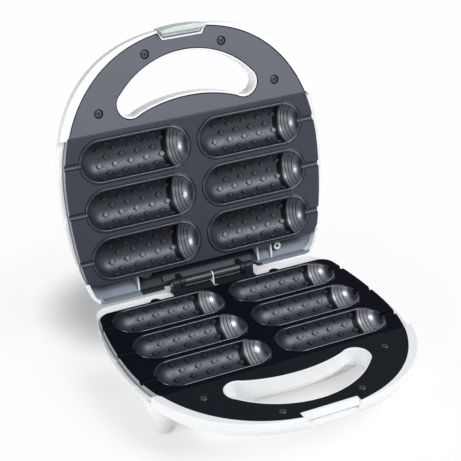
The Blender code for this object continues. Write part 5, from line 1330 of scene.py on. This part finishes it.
# two knuckles on the base, a barrel in two sleeves on the lid, and the pin through them all
def makeHinge():
    y, rise, shift = machine["hingeY"], machine["hingeRise"], hinge["x"]
    for side, word in ((-1, "left"), (1, "right")):
        low, high = sorted((shift + side * hinge["knuckleX"],
                            shift + side * (hinge["knuckleX"] + hinge["knuckleWidth"])))
        knuckle = pushed(f"knuckle{word}", knuckleProfile(hinge["eyeRadius"], 0.0), low, high, hinge["edge"])
        carve(knuckle, rodAt(f"knuckleBore{word}", hinge["bore"], low - over, high + over, (0.0, y, -rise),
                             "x"))
        settled(knuckle)
        finishPiece(f"knuckle_{word}", [knuckle], "base", "base", finishes["darkHinge"],
                    [f"hinge_knuckle_{word}"])
        low, high = sorted((shift + side * hinge["gap"], shift + side * hinge["barrelHalf"]))
        profile = pillProfile(hinge["barrelRadius"], low, high, hinge["edge"])
        sleeve = spun(f"sleeve{word}", profile, (0.0, y, rise), "x", meshing["fineSteps"])
        carve(sleeve, rodAt(f"sleeveBore{word}", hinge["bore"], low - over, high + over, (0.0, y, rise), "x"))
        settled(sleeve)
        finishPiece(f"sleeve_{word}", [sleeve], "lid", "lid", finishes["greySleeve"],
                    [f"hinge_sleeve_{word}"])
    reach = hinge["knuckleX"] + hinge["knuckleWidth"] + shell["slack"]
    pin = spun("pin", pillProfile(hinge["pinRadius"], shift - reach, shift + reach, hinge["pinEdge"]),
               (0.0, y, -rise), "x", meshing["wideSteps"])
    finishPiece("pin", [pin], "base", "base", finishes["plainSteel"], ["hinge_pin"])


# the flat plate under the knuckles, with a slot for the web and a small window beside it
def makeHingePlate():
    front, rear, half, slotHalf = hinge["plateFront"], hinge["plateRear"], hinge["plateHalf"], hinge["gap"]
    corner, angle = hinge["plateCorner"], np.linspace(0.0, math.pi / 2, hinge["cornerPoints"])
    turns = [(half - corner, front + corner, -math.pi / 2), (half - corner, rear - corner, 0.0)]
    right = np.concatenate([np.stack([x + corner * np.cos(angle + start), y + corner * np.sin(angle + start)],
                                     axis=1) for x, y, start in turns])
    ahead = hinge["slotFront"] - hinge["windowDepth"]
    inner = np.array([(slotHalf, rear), (slotHalf, hinge["slotFront"]),
                      (hinge["windowReach"], hinge["slotFront"]), (slotHalf, ahead), (-slotHalf, ahead),
                      (-slotHalf, rear)])
    loop = np.concatenate([right, inner, right[::-1] * (-1, 1)]) + (hinge["x"], 0.0)
    sheet = prism("hingePlate", loop, hinge["plateLow"], hinge["plateHigh"])
    finishPiece("hinge_plate", [sheet], "base", "base", finishes["darkHinge"], ["base_hinge_plate"])


# a sheet along the lid's rear wall, and two arms that end in eyes on the pin
def makeLeaf():
    wall = lidWallLine(3)
    along = (wall[1] - wall[0]) / np.linalg.norm(wall[1] - wall[0])
    inward = np.array((along[1], -along[0]))
    inward = -inward if inward[0] > 0.0 else inward
    thick, shift = hinge["leafThickness"], hinge["x"]
    start = wall[0] + inward * shell["fit"] + along * thick
    knee = wall[1] + inward * shell["fit"]
    sheet = np.array([start, knee, knee + inward * thick, start + inward * thick])
    leaf = pushed("leaf", sheet, shift - hinge["leafHalf"], shift + hinge["leafHalf"], hinge["leafEdge"])
    grip = start + (inward + along) * thick / 2
    angle = np.linspace(-math.pi, 0.0, hinge["eyePoints"])
    eye = np.stack([machine["hingeY"] + hinge["eyeRadius"] * np.cos(angle),
                    machine["hingeRise"] + hinge["eyeRadius"] * np.sin(angle)], axis=1)
    arm = np.concatenate([eye, [grip + along * thick, grip + along * thick * 3]])
    for side in (-1, 1):
        low, high = sorted((shift + side * hinge["armX"], shift + side * (hinge["armX"] + hinge["armWidth"])))
        carve(leaf, pushed(f"leafArm{side}", arm, low, high, hinge["leafEdge"]), "UNION")
        carve(leaf, rodAt(f"leafBore{side}", hinge["bore"], low - hinge["leafBoreOver"],
                          high + hinge["leafBoreOver"], (0.0, machine["hingeY"], machine["hingeRise"]), "x"))
    settled(leaf)
    finishPiece("hinge_leaf", [leaf], "lid", "lid", finishes["darkHinge"], ["lid_hinge_leaf"])


makeHinge()
makeHingePlate()
makeLeaf()

# latch

clip = {"halfOuter": 0.0219, "halfInner": 0.0165, "bulge": 0.0020, "stand": 0.0012, "plate": 0.0028,
        "top": 0.0102, "reach": 0.0052, "hook": 0.0018, "nose": 0.0014, "bossRadius": 0.0024,
        "boreHalf": 0.026, "edge": 0.0006, "noseEdge": 0.0004, "backIn": 0.0005, "backLow": 0.0016,
        "backHigh": 0.0024,
        "bossPoints": 9, "arcPoints": 41, "hookCorner": 0.15}


# a hooked profile pushed along X, trimmed to a bowed plan with leaning sides, and bored for its pin
def makeLatch():
    pinY, pinDepth = frontY + notch["pinFromFront"], notch["pinDepth"]
    faceY = frontY - clip["stand"]
    innerY = faceY + clip["plate"]
    angle = np.linspace(0.0, math.pi / 2, clip["bossPoints"])
    boss = np.stack([pinY + clip["bossRadius"] * np.cos(angle),
                     pinDepth + clip["bossRadius"] * np.sin(angle)], axis=1)
    hook = np.array([(faceY + clip["edge"], clip["top"]), (faceY, clip["top"] - clip["edge"]),
                     (faceY, -clip["reach"] + clip["hook"] / 2),
                     (faceY + clip["hook"] * clip["hookCorner"],
                      -clip["reach"] + clip["hook"] * clip["hookCorner"]),
                     (faceY + clip["hook"] / 2, -clip["reach"]),
                     (innerY + clip["nose"] - clip["noseEdge"], -clip["reach"]),
                     (innerY + clip["nose"], -clip["reach"] + clip["noseEdge"]),
                     (innerY + clip["nose"], -clip["reach"] + clip["hook"] / 2),
                     (innerY, -clip["reach"] + clip["hook"]), (innerY, clip["edge"]),
                     (pinY + clip["bossRadius"] - clip["backIn"], clip["backLow"]),
                     (pinY + clip["bossRadius"], clip["backHigh"])])
    thing = pushed("latch", np.concatenate([hook, boss]), -clip["halfOuter"], clip["halfOuter"])
    share = np.linspace(-1.0, 1.0, clip["arcPoints"])
    arc = np.stack([clip["halfOuter"] * share, faceY + clip["bulge"] * share ** 2], axis=1)
    plan = np.concatenate([arc, [[clip["halfOuter"], pinY + notch["depth"]],
                                 [-clip["halfOuter"], pinY + notch["depth"]]]])
    carve(thing, prism("latchPlan", plan, -clip["reach"] - over, pinDepth + over), "INTERSECT")
    for side in (-1, 1):
        lean = np.array([(side * clip["halfOuter"], faceY), (side * (clip["halfOuter"] + over), faceY),
                         (side * (clip["halfOuter"] + over), pinY + notch["depth"]),
                         (side * clip["halfInner"], faceY + notch["depth"])])
        carve(thing, prism(f"latchTrim{side}", lean, -clip["reach"] - over, pinDepth + clip["top"]))
    carve(thing, rodAt("latchBore", notch["pinRadius"] + notch["pinFit"], -clip["boreHalf"], clip["boreHalf"],
                       (0.0, pinY, pinDepth), "x", meshing["smallSteps"]))
    settled(thing)
    finishPiece("latch_body", [thing], "lid", "latch", finishes["paleLatch"], ["latch_clip"])
    pin = spun("latchPin", pillProfile(notch["pinRadius"], -notch["pinHalf"], notch["pinHalf"],
                                       notch["pinEdge"]), (0.0, pinY, pinDepth), "x", meshing["smallSteps"])
    finishPiece("latch_rod", [pin], "lid", "lid", finishes["plainSteel"], ["latch_pin"])


makeLatch()

# feet, cord bush and lights

# round pads with a dimple, a ring for the cord, and two domed lenses with a lamp under each
def makeFittings():
    height = machine["baseHeight"]
    edge = feet["padEdge"]
    for number, (x, y) in enumerate(footSpots()):
        profile = pillProfile(feet["padRadius"], height - feet["padThickness"], height, edge)
        dimple = [(feet["dimpleTop"], height), (feet["dimpleFloor"], height - edge), (0.0, height - edge)]
        pad = spun(f"pad{number}", profile[:-1].tolist() + dimple, (x, y, 0.0))
        finishPiece(f"pad_{number + 1}", [pad], "base", "base", finishes["rubber"],
                    [f"foot_pad_{number + 1}"])
    bore, outer, length, edge = cord["bore"], cord["outer"], cord["length"], cord["edge"]
    profile = [(bore, edge), (bore + edge, 0.0), (outer - edge, 0.0), (outer, edge),
               (outer, length - cord["tailLength"]), (outer - cord["tailIn"], length),
               (bore + cord["tailEdge"], length), (bore, length - cord["tailEdge"])]
    bush = spun("bush", profile, (0.0, rearY - cord["fromRear"], cord["depth"]), "y", closed=True)
    finishPiece("cord_bush", [bush], "base", "base", finishes["rubber"], ["cord_inlet_bush"])
    inside = bowl["lid"]["depth"] - shell["wall"] - shell["slack"]
    radius = indicator["radius"]
    for side, word, look, slot in ((-1, "power", "redLens", "red_lens"),
                                   (1, "ready", "greenLens", "green_lens")):
        angle = np.linspace(0.0, math.pi / 2, indicator["domePoints"])
        dome = np.stack([radius * np.cos(angle), bowl["lid"]["depth"] + indicator["stand"] * np.sin(angle)],
                        axis=1)
        profile = np.concatenate([[[0.0, inside], [radius, inside]], dome])
        profile[-1, 0] = 0.0
        spot = (side * indicator["x"], indicator["y"], 0.0)
        lens = spun(word + "Lens", profile, spot)
        finishPiece(word + "_lens", [lens], "lid", "lid", finishes[look], [word + "_light_lens"])
        low = inside - shell["slack"]
        lamp = spun(word + "Lamp", pillProfile(indicator["lampRadius"], low - indicator["lampLength"], low,
                                               indicator["lampEdge"]), spot, steps=meshing["rodSteps"])
        finishPiece(word + "_neon", [lamp], "lid", "lid", finishes["lampGlass"], [word + "_lamp"])


makeFittings()

# inner parts keep their solids and get their finish
kept = {"base_heating_element": "heaterSheath", "lid_heating_element": "heaterSheath",
        "base_heat_shield": "plainSteel", "lid_heat_shield": "plainSteel", "thermostat": "ceramic",
        "thermal_fuse": "ceramic", "terminal_block": "ceramic"}
for nodeName, look in kept.items():
    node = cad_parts[nodeName]
    node.data.materials.clear()
    node.data.materials.append(finishes[look])
print("inner parts finished:", len(kept))
